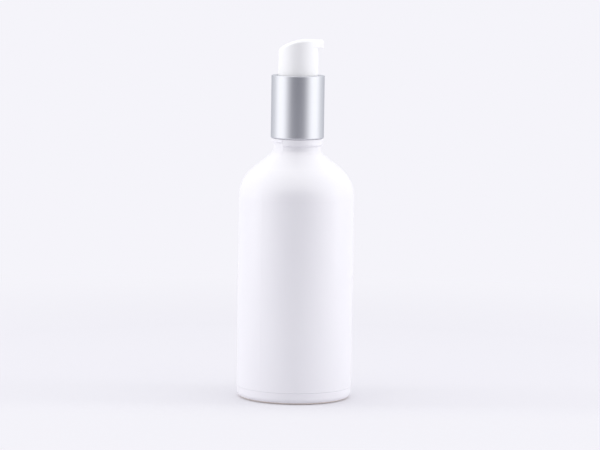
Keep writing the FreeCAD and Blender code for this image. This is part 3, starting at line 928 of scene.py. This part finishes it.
    def stipple_lift(self, outline: np.ndarray, angles: np.ndarray) -> np.ndarray:
        """Lift of the bearing ring between its n stipples: (1 - cos(n a)) / 2, fading to the ring's edges.

        Args:
            outline: (radius, height) of the outside's rows, in millimetres.
            angles: angles of the columns.
        Returns:
            The lift in millimetres, as rows by columns.
        """
        ring_end = self.radius - self.heel_step - self.heel_radius
        middle, half = (ring_end + self.punt_radius) / 2, (ring_end - self.punt_radius) / 2
        inside = np.clip(1 - ((outline[:, :1] - middle) / half) ** 2, 0.0, 1.0)
        inside = np.where(outline[:, 1:] < self.stipple_top, inside, 0.0)
        return (1 - np.cos(self.stipples * angles)) / 2 * inside * self.stipple_depth

    def surface(self) -> Surface:
        """Builds the glass as one closed skin: the turned outline, with the mould's marks on its outside.

        Returns:
            The surface, in metres.
        """
        body, angles = self.outline()[1:-1], self.angles()
        points = turned(body, angles)
        lip = int(np.argmax(body[:, 1]))
        outside = body[:lip]
        points[:lip, :, :2] *= self.seam_growth(outside, angles)[..., None]
        points[:lip, :, 2] += (self.bead_rise(outside, angles) + self.stipple_lift(outside, angles)) * MM
        middles = (0.0, 0.0, self.punt_depth * MM), (0.0, 0.0, self.floor * MM)
        return Surface.grid(points, False, True).capped(*middles)

    def build(self, finishes: Finishes) -> None:
        """Makes the bottle and its neck thread.

        Args:
            finishes: the finish of each slot.
        """
        self.surface().piece("glass_bottle", finishes.glass, Body.BOTTLE, "opal_glass", ["bottle"])
        thread = ScrewRidge(
            wall=self.screw_radius, crest=self.thread_crest, start=self.levels()["top"] - self.thread_drop,
            pitch=self.thread_pitch, turns=self.thread_turns, foot_width=self.thread_foot,
            crest_width=self.thread_tip,
        )
        thread.surface().piece("neck_thread", finishes.glass, Body.BOTTLE, "opal_glass")


@dataclass
class CollarSleeve:
    """Drawn aluminium sleeve with an in-turned top and a rolled bottom edge; sizes in millimetres."""

    bottom: float
    top: float
    radius: float = 10.8
    gauge: float = 0.5
    hole: float = 8.5
    top_round: float = 0.22
    roll: float = 0.45
    lip: float = 0.75
    lift: float = 0.45
    cut_edge: float = 0.12
    crease: float = 0.1
    outline_step: float = 1.5
    columns: int = 256

    def build(self, finishes: Finishes) -> None:
        """Makes the sleeve: its closed outline is turned about Z, and the roll seats close above the bead.

        Args:
            finishes: the finish of each slot.
        """
        inner, under_top = self.radius - self.gauge, self.top - self.gauge
        lip = self.radius - self.roll - self.lip
        bottom = self.bottom + self.lift
        outline = rounded_outline([
            (self.hole, self.top, self.cut_edge), (self.radius, self.top, self.top_round),
            (self.radius, bottom, self.roll), (lip, bottom, self.cut_edge),
            (lip, bottom + self.gauge, self.crease), (inner, bottom + self.gauge, self.crease),
            (inner, under_top, self.crease), (self.hole, under_top, self.cut_edge),
        ], self.outline_step, True)
        skin = Surface.grid(turned(outline, even_angles(self.columns)), True, True).outward()
        skin.piece("sleeve_shell", finishes.aluminium, Body.CLOSURE, "satin_aluminium", ["collar_sleeve"])


@dataclass
class ScrewClosure:
    """Screw closure inside the sleeve: threaded skirt, web and a tower for the head; sizes in millimetres."""

    bottom: float
    top: float
    web_bottom: float
    web: float = 1.4
    radius: float = 10.25
    bore: float = 9.1
    tower: float = 8.45
    hole: float = 5.05
    lift: float = 0.5
    edge: float = 0.3
    foot_round: float = 0.4
    hole_edge: float = 0.1
    outline_step: float = 1.5
    columns: int = 160
    thread_crest: float = 8.3
    thread_pitch: float = 3.0
    thread_start: float = 1.6
    thread_turns: float = 1.5
    thread_foot: float = 1.2
    thread_tip: float = 0.5
    thread_phase: float = 0.15

    def build(self, finishes: Finishes) -> None:
        """Makes the closure and the thread inside its skirt, clear of the sleeve's roll.

        Args:
            finishes: the finish of each slot.
        """
        foot, web_top = self.bottom + self.lift, self.web_bottom + self.web
        outline = rounded_outline([
            (self.bore, foot, self.edge), (self.radius, foot, self.foot_round),
            (self.radius, self.top, self.edge), (self.tower, self.top, self.edge),
            (self.tower, web_top, self.edge), (self.hole, web_top, self.hole_edge),
            (self.hole, self.web_bottom, self.hole_edge), (self.bore, self.web_bottom, self.edge),
        ], self.outline_step, True)
        shell = Surface.grid(turned(outline, even_angles(self.columns)), True, True).outward()
        shell.piece("closure_shell", finishes.white, Body.CLOSURE, "white_plastic", ["closure_cap"])
        thread = ScrewRidge(
            wall=self.bore, crest=self.thread_crest, start=self.bottom + self.thread_start,
            pitch=self.thread_pitch, turns=self.thread_turns, foot_width=self.thread_foot,
            crest_width=self.thread_tip, phase=self.thread_phase,
        )
        thread.surface().piece("closure_thread", finishes.white, Body.CLOSURE, "white_plastic")


@dataclass
class ReturnSpring:
    """Compression spring with close-wound ends; sizes in millimetres."""

    bottom: float
    length: float = 13.0
    radius: float = 2.6
    wire: float = 0.55
    turns: float = 8.0
    end_turns: float = 0.75
    end_gap: float = 0.45
    stroke: float = 6.0
    steps_a_turn: int = 40
    wire_sides: int = 14

    def surface(self) -> Surface:
        """Carries the round wire along its helix.

        After t turns the middle of the wire is at (r cos 2 pi t, r sin 2 pi t, h(t)). The height climbs at
        the close pitch at both ends, and a raised cosine opens the pitch between them. The section lies in
        the plane of the outward direction and the direction square to it and to the wire.

        Returns:
            The closed surface, in metres.
        """
        close = self.wire + self.end_gap
        open_turns = self.turns - 2 * self.end_turns
        extra = self.length - self.wire - close * self.turns
        turn = np.linspace(0.0, self.turns, int(self.turns * self.steps_a_turn) + 1)
        share = np.clip((turn - self.end_turns) / open_turns, 0.0, 1.0)
        climb = close * turn + extra * (share - np.sin(2 * math.pi * share) / (2 * math.pi))
        angle = 2 * math.pi * turn
        outward = ring(angle, 1.0, 0.0)
        middle = ring(angle, self.radius, self.bottom + self.wire / 2 + climb)
        along = np.gradient(middle, axis=0)
        along /= np.linalg.norm(along, axis=1, keepdims=True)
        square = np.cross(along, outward)
        around = even_angles(self.wire_sides)[None, :, None]
        section = np.cos(around) * outward[:, None, :] + np.sin(around) * square[:, None, :]
        points = (middle[:, None, :] + self.wire / 2 * section) * MM
        return Surface.grid(points, False, True).capped(points[0].mean(axis=0), points[-1].mean(axis=0))

    def build(self, finishes: Finishes) -> None:
        """Makes the spring and gives it a mesh of its own.

        Args:
            finishes: the finish of each slot.
        """
        wound = self.surface()
        made = wound.piece("wound_spring", finishes.wire, Body.PUMP, "spring_steel", ["return_spring"])
        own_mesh(made)


@dataclass
class PressHead:
    """Press head: tapered skirt, arched thumb pad, and a spout that narrows to a round nose with its bore.

    Sizes are in millimetres and angles in degrees from the spout. A cut places the middle of a rounded edge.
    """

    # Skirt, hollow and pad
    bottom: float
    top: float
    skirt_radius: float = 8.15
    radius: float = 8.0
    wall: float = 1.0
    foot_round: float = 0.2
    foot_cut: float = 0.06
    ceiling_round: float = 0.3
    ceiling_cut: Size = (0.08, 0.06)
    rim: float = 0.9
    pad_radius: float = 22.0
    pad_flat: float = 4.5
    pad_thickness: float = 1.2

    # Spout
    reach: float = 10.2
    nose_radius: float = 1.8
    spout_depth: float = 3.35
    droop: float = 0.25
    edge: float = 0.3
    edge_share: float = 0.45
    under_spout: float = 0.8
    over_spout: float = 0.35
    skirt_gap: float = 0.05
    rim_gap: float = 0.1

    # Bore, with the inset and depth of the rows that round its mouth
    bore_drop: float = 1.95
    bore_radius: float = 0.7
    bore_start: float = 0.5
    bore_end: float = 3.0
    mouth_round: float = 0.1
    mouth_cuts: tuple[Size, ...] = ((0.07, 0.03), (0.1, 0.12))

    # Stem socket and ribs, sunk a little into the wall and the pad
    socket_bottom: float = 1.0
    socket_bore: float = 2.03
    socket_wall: float = 1.0
    socket_depth: float = 9.3
    socket_lead: float = 0.15
    socket_round: float = 0.2
    rib: float = 0.8
    rib_depth: float = 5.0
    rib_step: float = 0.02
    rib_guard: float = 0.3
    wall_sink: float = 0.1
    pad_sink: float = 0.2
    cap_guard: float = 0.05

    # Columns of the skin, closest together across the mouth of the bore
    mouth_angle: float = 7.0
    spout_angle: float = 46.0
    mouth_columns: int = 28
    side_columns: int = 36
    back_columns: int = 149
    core_columns: int = 288

    # Rows of the skin, as counts or as shares of the way
    ceiling_shares: tuple[float, ...] = (0.25, 0.5, 0.75, 0.93)
    wall_shares: tuple[float, ...] = (0.05, 0.35, 0.65, 0.98)
    skirt_rows: int = 9
    spout_rows: int = 26
    side_rows: int = 10
    rim_rows: int = 11
    pad_shares: tuple[float, ...] = (0.97, 0.9, 0.8, 0.68, 0.55, 0.42, 0.3, 0.18, 0.08)
    mouth_shares: tuple[float, ...] = (0.3, 0.6, 0.85, 1.0)
    bore_rows: int = 4

    def angles(self) -> np.ndarray:
        """Spaces the columns, closest together across the mouth of the bore.

        Returns:
            The angles, in radians.
        """
        mouth, spout, back = self.mouth_angle, self.spout_angle, 360.0 - self.spout_angle
        stretches = [(-mouth, mouth, self.mouth_columns), (mouth, spout, self.side_columns),
                     (spout, back, self.back_columns), (back, 360.0 - mouth, self.side_columns)]
        return np.radians(np.concatenate([np.linspace(*stretch, endpoint=False) for stretch in stretches]))

    def plan(self, angles: np.ndarray) -> np.ndarray:
        """Distance from the axis to the outline seen from above.

        A ray at an angle a meets the head's circle, then the straight side that touches the head and the nose
        at the angle t, at r / cos(t - a), and then the nose's circle of radius n round c, at
        c cos a + sqrt(n^2 - (c sin a)^2).

        Args:
            angles: angles from the spout, in radians.
        Returns:
            The distances, in millimetres.
        """
        nose = self.reach - self.nose_radius
        touch = math.acos((self.radius - self.nose_radius) / nose)
        nose_end = math.atan2(self.nose_radius * math.sin(touch), nose + self.nose_radius * math.cos(touch))
        off = np.abs(wrapped(angles))
        side = self.radius / np.cos(np.minimum(touch - off, touch))
        tip = nose * np.cos(off) + np.sqrt(np.maximum(self.nose_radius ** 2 - (nose * np.sin(off)) ** 2, 0.0))
        return np.where(off > touch, self.radius, np.where(off > nose_end, side, tip))

    def pad(self, x: Row) -> np.ndarray:
        """Height of the thumb pad: level at the spout, then an arch of one radius falling to the back."""
        back = np.maximum(self.pad_flat - x, 0.0)
        return self.top - self.pad_radius + np.sqrt(self.pad_radius ** 2 - back ** 2)

    def root(self) -> float:
        """Height where the spout leaves the skirt."""
        return self.top - self.spout_depth + self.droop

    def flare(self, height: Row) -> np.ndarray:
        """Growth of the skirt's radius from the spout's root down to a height, along a straight taper."""
        taper = (self.skirt_radius - self.radius) / (self.root() - self.bottom)
        return taper * np.maximum(self.root() - height, 0.0)

    def rim_edge(self, angles: np.ndarray) -> np.ndarray:
        """Finds where the rounded rim of the pad starts, on the tapered outside.

        Args:
            angles: angles of the columns.
        Returns:
            One row of points, in millimetres.
        """
        reach = self.plan(angles)
        edge = reach + self.flare(self.pad(reach * np.cos(angles)) - self.rim)
        return ring(angles, edge, self.pad(edge * np.cos(angles)) - self.rim)

    def spout_corner(self, overhang: np.ndarray) -> tuple[np.ndarray, np.ndarray]:
        """Path from the skirt, under the spout and up its side, evenly spaced by length.

        It goes up, turns out in a small hollow, runs out by the overhang, turns up round a small edge and
        goes up again. Without an overhang it is a straight line up.

        Args:
            overhang: reach of the spout beyond the skirt at each column.
        Returns:
            How far out and how far up the path is, each as rows by columns.
        """
        bend = np.minimum(self.edge, self.edge_share * overhang)
        turn = bend * math.pi / 2
        lengths = [self.under_spout - bend, turn, overhang - 2 * bend, turn, self.over_spout - bend]
        ends = np.cumsum(np.stack(lengths), axis=0)
        gone = shares(self.spout_rows) * ends[-1]
        safe = np.maximum(bend, TINY)
        first = np.clip((gone - ends[0]) / safe, 0.0, math.pi / 2)
        second = np.clip((gone - ends[2]) / safe, 0.0, math.pi / 2)
        level = np.clip(gone - ends[1], 0.0, ends[2] - ends[1])
        out = bend * (1 - np.cos(first)) + level + bend * np.sin(second)
        up = np.minimum(gone, ends[0]) - self.under_spout + bend * np.sin(first)
        return out, up + bend * (1 - np.cos(second)) + np.maximum(gone - ends[3], 0.0)

    def hollow(self, angles: np.ndarray) -> np.ndarray:
        """Rows of the hollow: out under the pad, down the tapered inner wall and across the foot.

        Args:
            angles: angles of the columns.
        Returns:
            Array of rows by columns by 3, in millimetres.
        """
        inner = self.radius - self.wall
        part = np.array(self.ceiling_shares)[:, None] * inner
        under_pad = ring(angles, part, self.pad(part * np.cos(angles)) - self.pad_thickness)
        ceiling = self.pad(inner * np.cos(angles)) - self.pad_thickness
        inset, drop = self.ceiling_cut
        turn = ring(angles, np.array([[inner - inset], [inner]]),
                    ceiling - np.array([[drop], [self.ceiling_round]]))
        start = ceiling - self.ceiling_round
        height = start + (self.bottom + self.foot_round - start) * np.array(self.wall_shares)[:, None]
        wall = ring(angles, inner + self.flare(height), height)
        foot_inner, foot_outer = self.skirt_radius - self.wall, self.skirt_radius
        across = [foot_inner + self.foot_cut, foot_inner + self.foot_round,
                  foot_outer - self.foot_round, foot_outer - self.foot_cut]
        raised = [self.foot_cut, 0.0, 0.0, self.foot_cut]
        foot = ring(angles, np.array(across)[:, None], self.bottom + np.array(raised)[:, None])
        return np.concatenate([under_pad, turn, wall, foot])

    def outside(self, angles: np.ndarray) -> tuple[np.ndarray, np.ndarray, np.ndarray]:
        """Rows of the outside: up the tapered skirt, round the spout's corner, and up to the rim.

        Args:
            angles: angles of the columns.
        Returns:
            Rows of the skirt, the corner and the upright side, each as rows by columns by 3, in millimetres.
        """
        reach, rim_start = self.plan(angles), self.rim_edge(angles)[:, 2]
        corner = np.minimum(self.root(), rim_start - self.over_spout - self.rim_gap)
        low, high = self.bottom + self.foot_round, corner - self.under_spout - self.skirt_gap
        height = low + (high - low) * shares(self.skirt_rows)
        skirt = ring(angles, self.radius + self.flare(height), height)
        out, up = self.spout_corner(reach - self.radius)
        height = corner + up - self.droop * np.clip(out / (self.reach - self.radius), 0.0, 1.0)
        spout = ring(angles, self.radius + out + self.flare(height), height)
        start = spout[-1, :, 2]
        height = start + (rim_start - start) * shares(self.side_rows)[1:]
        return skirt, spout, ring(angles, reach + self.flare(height), height)

    def crown(self, angles: np.ndarray) -> np.ndarray:
        """Rows over the rim and across the pad.

        At a turn t a rim of radius r is r (1 - cos t) inside its edge, square to it, and r (1 - sin t) below
        the pad.

        Args:
            angles: angles of the columns.
        Returns:
            Array of rows by columns by 3, in millimetres.
        """
        edge = self.rim_edge(angles)[:, :2]
        run = np.roll(edge, -1, axis=0) - np.roll(edge, 1, axis=0)
        run /= np.linalg.norm(run, axis=1, keepdims=True)
        inward = np.stack([-run[:, 1], run[:, 0]], axis=-1)
        turn = math.pi / 2 * shares(self.rim_rows)[1:]
        flat = edge + inward * self.rim * (1 - np.cos(turn))[..., None]
        rim = np.dstack([flat, self.pad(flat[..., 0]) - self.rim * (1 - np.sin(turn))])
        flat = flat[-1] * np.array(self.pad_shares)[:, None, None]
        return np.concatenate([rim, np.dstack([flat, self.pad(flat[..., 0])])])

    def bore(self, grid: np.ndarray, first: int, last: int) -> tuple[np.ndarray, np.ndarray, np.ndarray]:
        """Fills the gap left in the spout's upright side with a round mouth and a blind bore.

        The edge of the gap is drawn in ring by ring to the circle of the bore, on the nose's round face
        x = c + sqrt(r^2 - y^2), and then straight in along X.

        Args:
            grid: rows of the head, in millimetres.
            first: first row of the gap.
            last: last row of the gap.
        Returns:
            Numbers of the gap's edge points in the grid, the new points ring by ring, and the end point.
        """
        columns, width = grid.shape[1], self.mouth_columns
        across, up = np.arange(width + 1), np.arange(first, last + 1)
        edge = np.concatenate([first * columns + across[:-1], up[:-1] * columns + width,
                               last * columns + across[:0:-1], up[:0:-1] * columns])
        border = grid.reshape(-1, 3)[edge][:, 1:]
        middle = np.array([0.0, self.top - self.bore_drop])
        way = (border - middle) / np.linalg.norm(border - middle, axis=1, keepdims=True)
        mouth = self.bore_radius + self.mouth_round
        face = border + (middle + way * mouth - border) * np.array(self.mouth_shares)[:, None, None]
        inset, depth = np.array(self.mouth_cuts).T[..., None]
        flat = np.concatenate([face, middle + way * (mouth - inset)[..., None]])
        sunk = np.concatenate([np.zeros((len(face), 1)), depth])
        nose = self.reach - self.nose_radius
        rings = np.dstack([nose + np.sqrt(self.nose_radius ** 2 - flat[..., 0] ** 2) - sunk, flat])
        deep = np.linspace(self.reach - self.bore_start, self.bore_end, self.bore_rows)[:, None]
        lining = np.dstack([deep + np.zeros(len(edge)), np.repeat(flat[-1:], len(deep), axis=0)])
        return edge, np.concatenate([rings, lining]), np.array([self.bore_end, *middle])

    def surface(self) -> Surface:
        """Joins the rows into a closed skin and lets the bore into its nose.

        Returns:
            The surface, in metres.
        """
        angles = self.angles()
        hollow = self.hollow(angles)
        skirt, spout, side = self.outside(angles)
        grid = np.concatenate([hollow, skirt, spout, side, self.crown(angles)])
        first = len(hollow) + len(skirt) + len(spout) - 1
        last = first + len(side)
        crown = float(self.pad(0.0))
        middles = (0.0, 0.0, crown - self.pad_thickness), (0.0, 0.0, crown)
        skin = Surface.grid(grid, False, True).capped(*middles)
        edge, rings, end = self.bore(grid, first, last)
        columns, width = len(angles), self.mouth_columns
        low, high = skin.quads.min(axis=1), skin.quads.max(axis=1)
        in_rows = (low // columns >= first) & (high // columns <= last)
        in_gap = in_rows & (low % columns < width) & (high % columns <= width)
        start, count = len(skin.points), rings.shape[0] * rings.shape[1]
        loops = np.vstack([edge, start + np.arange(count).reshape(rings.shape[:2])])
        near, far = loops[:-1], loops[1:]
        lining = np.stack([near, np.roll(near, -1, axis=1), np.roll(far, -1, axis=1), far], axis=-1)
        fan = np.stack([loops[-1], np.roll(loops[-1], -1), np.full(len(edge), start + count)], axis=-1)
        points = np.vstack([skin.points, rings.reshape(-1, 3), end[None, :]]) * MM
        quads = np.vstack([skin.quads[~in_gap], lining.reshape(-1, 4)])
        return Surface(points, quads, np.vstack([skin.triangles, fan])).compact()

    def core(self) -> Surface:
        """Stem socket and its four ribs under the pad, as one closed skin.

        Seen from above the ribbed outline is r = t / (2 |sin b|), with the rib's thickness t and the angle b
        from the nearest rib, kept between the socket and the inner wall.

        Returns:
            The surface, in metres.
        """
        angles = even_angles(self.core_columns)
        from_rib = np.abs(np.sin(angles % (math.pi / 2) - math.pi / 4))
        bore, socket = self.socket_bore, self.socket_bore + self.socket_wall
        inner = self.radius - self.wall + self.wall_sink
        ribbed = np.clip(self.rib / 2 / np.maximum(from_rib, TINY), socket, inner)
        foot = self.bottom + self.socket_bottom
        end = foot + self.socket_depth
        rib_foot = self.top - self.spout_depth - self.rib_depth
        cap = self.pad(ribbed * np.cos(angles)) - self.pad_thickness + self.pad_sink
        rows = [
            (bore, end), (bore, foot + self.socket_lead), (bore + self.socket_lead, foot),
            (socket - self.socket_round, foot), (socket, foot + self.socket_round),
            (socket, rib_foot - self.rib_step), (ribbed, rib_foot), (ribbed, rib_foot + self.rib_guard),
            (ribbed, cap - self.cap_guard), (ribbed, cap),
        ]
        points = np.stack([ring(angles, radius, height) for radius, height in rows]) * MM
        top = float(self.pad(0.0)) - self.pad_thickness + self.pad_sink
        return Surface.grid(points, False, True).capped((0.0, 0.0, end * MM), (0.0, 0.0, top * MM))

    def build(self, finishes: Finishes) -> None:
        """Makes the head and its core."""
        self.surface().piece("press_head", finishes.white, Body.HEAD, "white_plastic", ["pump_head"])
        self.core().piece("head_core", finishes.white, Body.HEAD, "white_plastic")


@dataclass
class Studio:
    """Pale tent with bright side panels, three softboxes, a paper floor and the camera of the photograph.

    Places and sizes are in metres. Limits are where a change starts and where it is complete.
    """

    # Tent: what the camera sees, what lights the object, and what shows in its gloss
    backdrop: Colour = (0.913, 0.905, 0.956)
    surroundings: Colour = (0.86, 0.87, 0.90)
    panels: Colour = (1.22, 1.22, 1.24)
    panels_in_gloss: Colour = (1.40, 1.40, 1.42)
    roof: Colour = (1.06, 1.06, 1.07)
    roof_in_gloss: Colour = (1.40, 1.40, 1.42)
    room: Colour = (0.24, 0.242, 0.275)
    behind: Limits = (0.0, 0.5)
    above: Limits = (0.35, 0.65)
    before: Limits = (-0.42, -0.98)

    # Floor, which glows far away and in front like the backdrop
    paper: Colour = (0.72, 0.712, 0.754)
    floor_reach: float = 0.42
    floor_points: int = 25
    glow_far: Limits = (0.15, 0.40)
    glow_front: Limits = (-0.015, -0.06)
    glow_least: float = 0.15
    glow_added: float = 0.65

    # Softboxes
    top_place: Place = (0.0, -0.1, 0.95)
    top_aim: Place = (0.0, 0.0, 0.0)
    top_size: Size = (1.0, 1.0)
    top_radiance: float = 0.5
    side_place: Place = (0.65, -0.02, 0.13)
    side_aim: Place = (0.0, 0.0, 0.08)
    side_size: Size = (0.2, 0.36)
    left_radiance: float = 5.0
    right_radiance: float = 5.3

    # Camera, with its lens and sensor in millimetres and its roll in degrees
    distance: float = 1.1835
    camera_height: float = 0.1973
    target_height: float = 0.07055
    target_side: float = 0.00161
    roll: float = 0.822
    lens: float = 175.2
    sensor: float = 36.0
    clip: Limits = (0.05, 20.0)

    @staticmethod
    def hang(made: bpy.types.Object, place: Place, aim: Place, roll: float = 0.0) -> None:
        """Puts a camera or a light in the scene, looking at a point.

        Args:
            made: the camera or light.
            place: where it is.
            aim: point that it looks at.
            roll: turn about its view, in degrees.
        """
        look = (Vector(aim) - Vector(place)).to_track_quat("-Z", "Y").to_matrix()
        turn = look @ Matrix.Rotation(math.radians(roll), 3, "Z")
        made.matrix_world = Matrix.Translation(place) @ turn.to_4x4()
        bpy.context.scene.collection.objects.link(made)

    def camera(self) -> None:
        """Places the camera at the photograph's height and angle, with its slight roll."""
        data = bpy.data.cameras.new("photo_camera")
        data.lens = self.lens
        data.sensor_width = self.sensor
        data.clip_start, data.clip_end = self.clip
        made = bpy.data.objects.new("photo_camera", data)
        place = (self.target_side, -self.distance, self.camera_height)
        self.hang(made, place, (self.target_side, 0.0, self.target_height), self.roll)
        bpy.context.scene.camera = made

    def softbox(self, name: str, place: Place, aim: Place, size: Size, radiance: float) -> None:
        """Hangs one soft light.

        Args:
            name: name of the light.
            place: its middle, in metres.
            aim: point that it faces.
            size: width and height, in metres.
            radiance: brightness of its face, where 1 shows as white.
        """
        data = bpy.data.lights.new(name, "AREA")
        data.shape = "RECTANGLE"
        data.size, data.size_y = size
        data.energy = radiance * math.pi * size[0] * size[1]
        made = bpy.data.objects.new(name, data)
        made.visible_camera = False
        made.visible_glossy = False
        self.hang(made, place, aim)

    def lights(self) -> None:
        """Hangs the softboxes."""
        self.softbox("top_softbox", self.top_place, self.top_aim, self.top_size, self.top_radiance)
        across, along, height = self.side_place
        for name, x, radiance in (
            ("left_softbox", -across, self.left_radiance),
            ("right_softbox", across, self.right_radiance),
        ):
            self.softbox(name, (x, along, height), self.side_aim, self.side_size, radiance)

    def world(self) -> None:
        """Pale tent: bright panels at both sides, a roof, and a dim room behind the camera."""
        world = bpy.data.worlds.new("studio")
        world.use_nodes = True
        bpy.context.scene.world = world
        recipe = Recipe(world.node_tree)
        camera, glossy = recipe.rays("Is Camera Ray", "Is Glossy Ray")
        _, y, z = recipe.parts(recipe.signal("ShaderNodeTexCoord", "Generated"))
        back = recipe.ramp(y, *self.behind)
        high = recipe.ramp(z, *self.above)
        front = recipe.ramp(y, *self.before) * (1 - high)
        panels = recipe.mixed(glossy, opaque(self.panels), opaque(self.panels_in_gloss))
        roof = recipe.mixed(glossy, opaque(self.roof), opaque(self.roof_in_gloss))
        around = recipe.mixed(back, panels, opaque(self.surroundings))
        around = recipe.mixed(high, around, roof)
        around = recipe.mixed(front, around, opaque(self.room))
        colour = recipe.mixed(camera, around, opaque(self.backdrop))
        lit = recipe.signal("ShaderNodeBackground", 0, None, {"Color": colour, "Strength": 1.0})
        recipe.node("ShaderNodeOutputWorld", None, {"Surface": lit})

    def paper_finish(self) -> bpy.types.Material:
        """Matt paper that keeps the bottle's shadow, and fades into the backdrop for rays that see it.

        Returns:
            The material.
        """
        recipe, made = Recipe.for_material("floor")
        camera, glossy, through = recipe.rays("Is Camera Ray", "Is Glossy Ray", "Is Transmission Ray")
        where = recipe.place()
        away = recipe.signal("ShaderNodeVectorMath", "Value", {"operation": "LENGTH"}, {0: where})
        far = recipe.ramp(away, *self.glow_far)
        front = recipe.ramp(recipe.parts(where)[1], *self.glow_front)
        seen = camera.larger(glossy).larger(through)
        share = far.larger(self.glow_least + self.glow_added * front) * seen
        matt = recipe.signal("ShaderNodeBsdfDiffuse", 0, None, {"Color": opaque(self.paper)})
        glow = recipe.signal("ShaderNodeEmission", 0, None, {"Color": opaque(self.backdrop), "Strength": 1.0})
        shader = recipe.signal("ShaderNodeMixShader", 0, None, {0: share, 1: matt, 2: glow})
        recipe.node("ShaderNodeOutputMaterial", None, {"Surface": shader})
        return made

    def floor(self) -> None:
        """Lays the floor, a level grid x, y with z = 0."""
        across = np.linspace(-self.floor_reach, self.floor_reach, self.floor_points)
        x, y = np.meshgrid(across, across, indexing="ij")
        grid = Surface.grid(np.stack([x, y, np.zeros_like(x)], axis=-1), False, False)
        grid.placed("floor", self.paper_finish())

    def build(self) -> None:
        """Sets the stage."""
        bpy.context.scene.view_settings.view_transform = "Standard"
        self.camera()
        self.lights()
        self.world()
        self.floor()


def dress_nodes(finishes: Finishes) -> None:
    """Gives every CAD node the finish of its slot.

    Args:
        finishes: the finish of each slot.
    """
    by_slot = {
        "opal_glass": finishes.glass, "satin_aluminium": finishes.aluminium, "white_plastic": finishes.white,
        "natural_plastic": finishes.natural, "soft_plastic": finishes.soft, "tube_plastic": finishes.tube,
        "gasket_foam": finishes.foam, "spring_steel": finishes.wire, "ball_steel": finishes.ball,
    }
    for subpart in frame["record"]["subparts"]:
        node = frame["nodes"][subpart["node"]]
        for slot in node.material_slots:
            slot.material = by_slot[subpart["material_slot"]]


def span(node: str) -> tuple[float, float]:
    """Lowest and highest point of a CAD node, in millimetres."""
    low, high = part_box(node)
    return low.z / MM, high.z / MM


def main() -> None:
    """Builds the bottle, its pump and the studio."""
    logging.basicConfig(level=logging.INFO, format="%(name)s: %(message)s")
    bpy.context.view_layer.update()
    finishes = Finishes.make()
    dress_nodes(finishes)
    Bottle().build(finishes)
    CollarSleeve(*span("collar_sleeve")).build(finishes)
    ScrewClosure(*span("closure_cap"), span("pump_housing")[1]).build(finishes)
    ReturnSpring(span("return_spring")[0]).build(finishes)
    PressHead(*span("pump_head")).build(finishes)
    Studio().build()


if __name__ == "__main__":
    main()
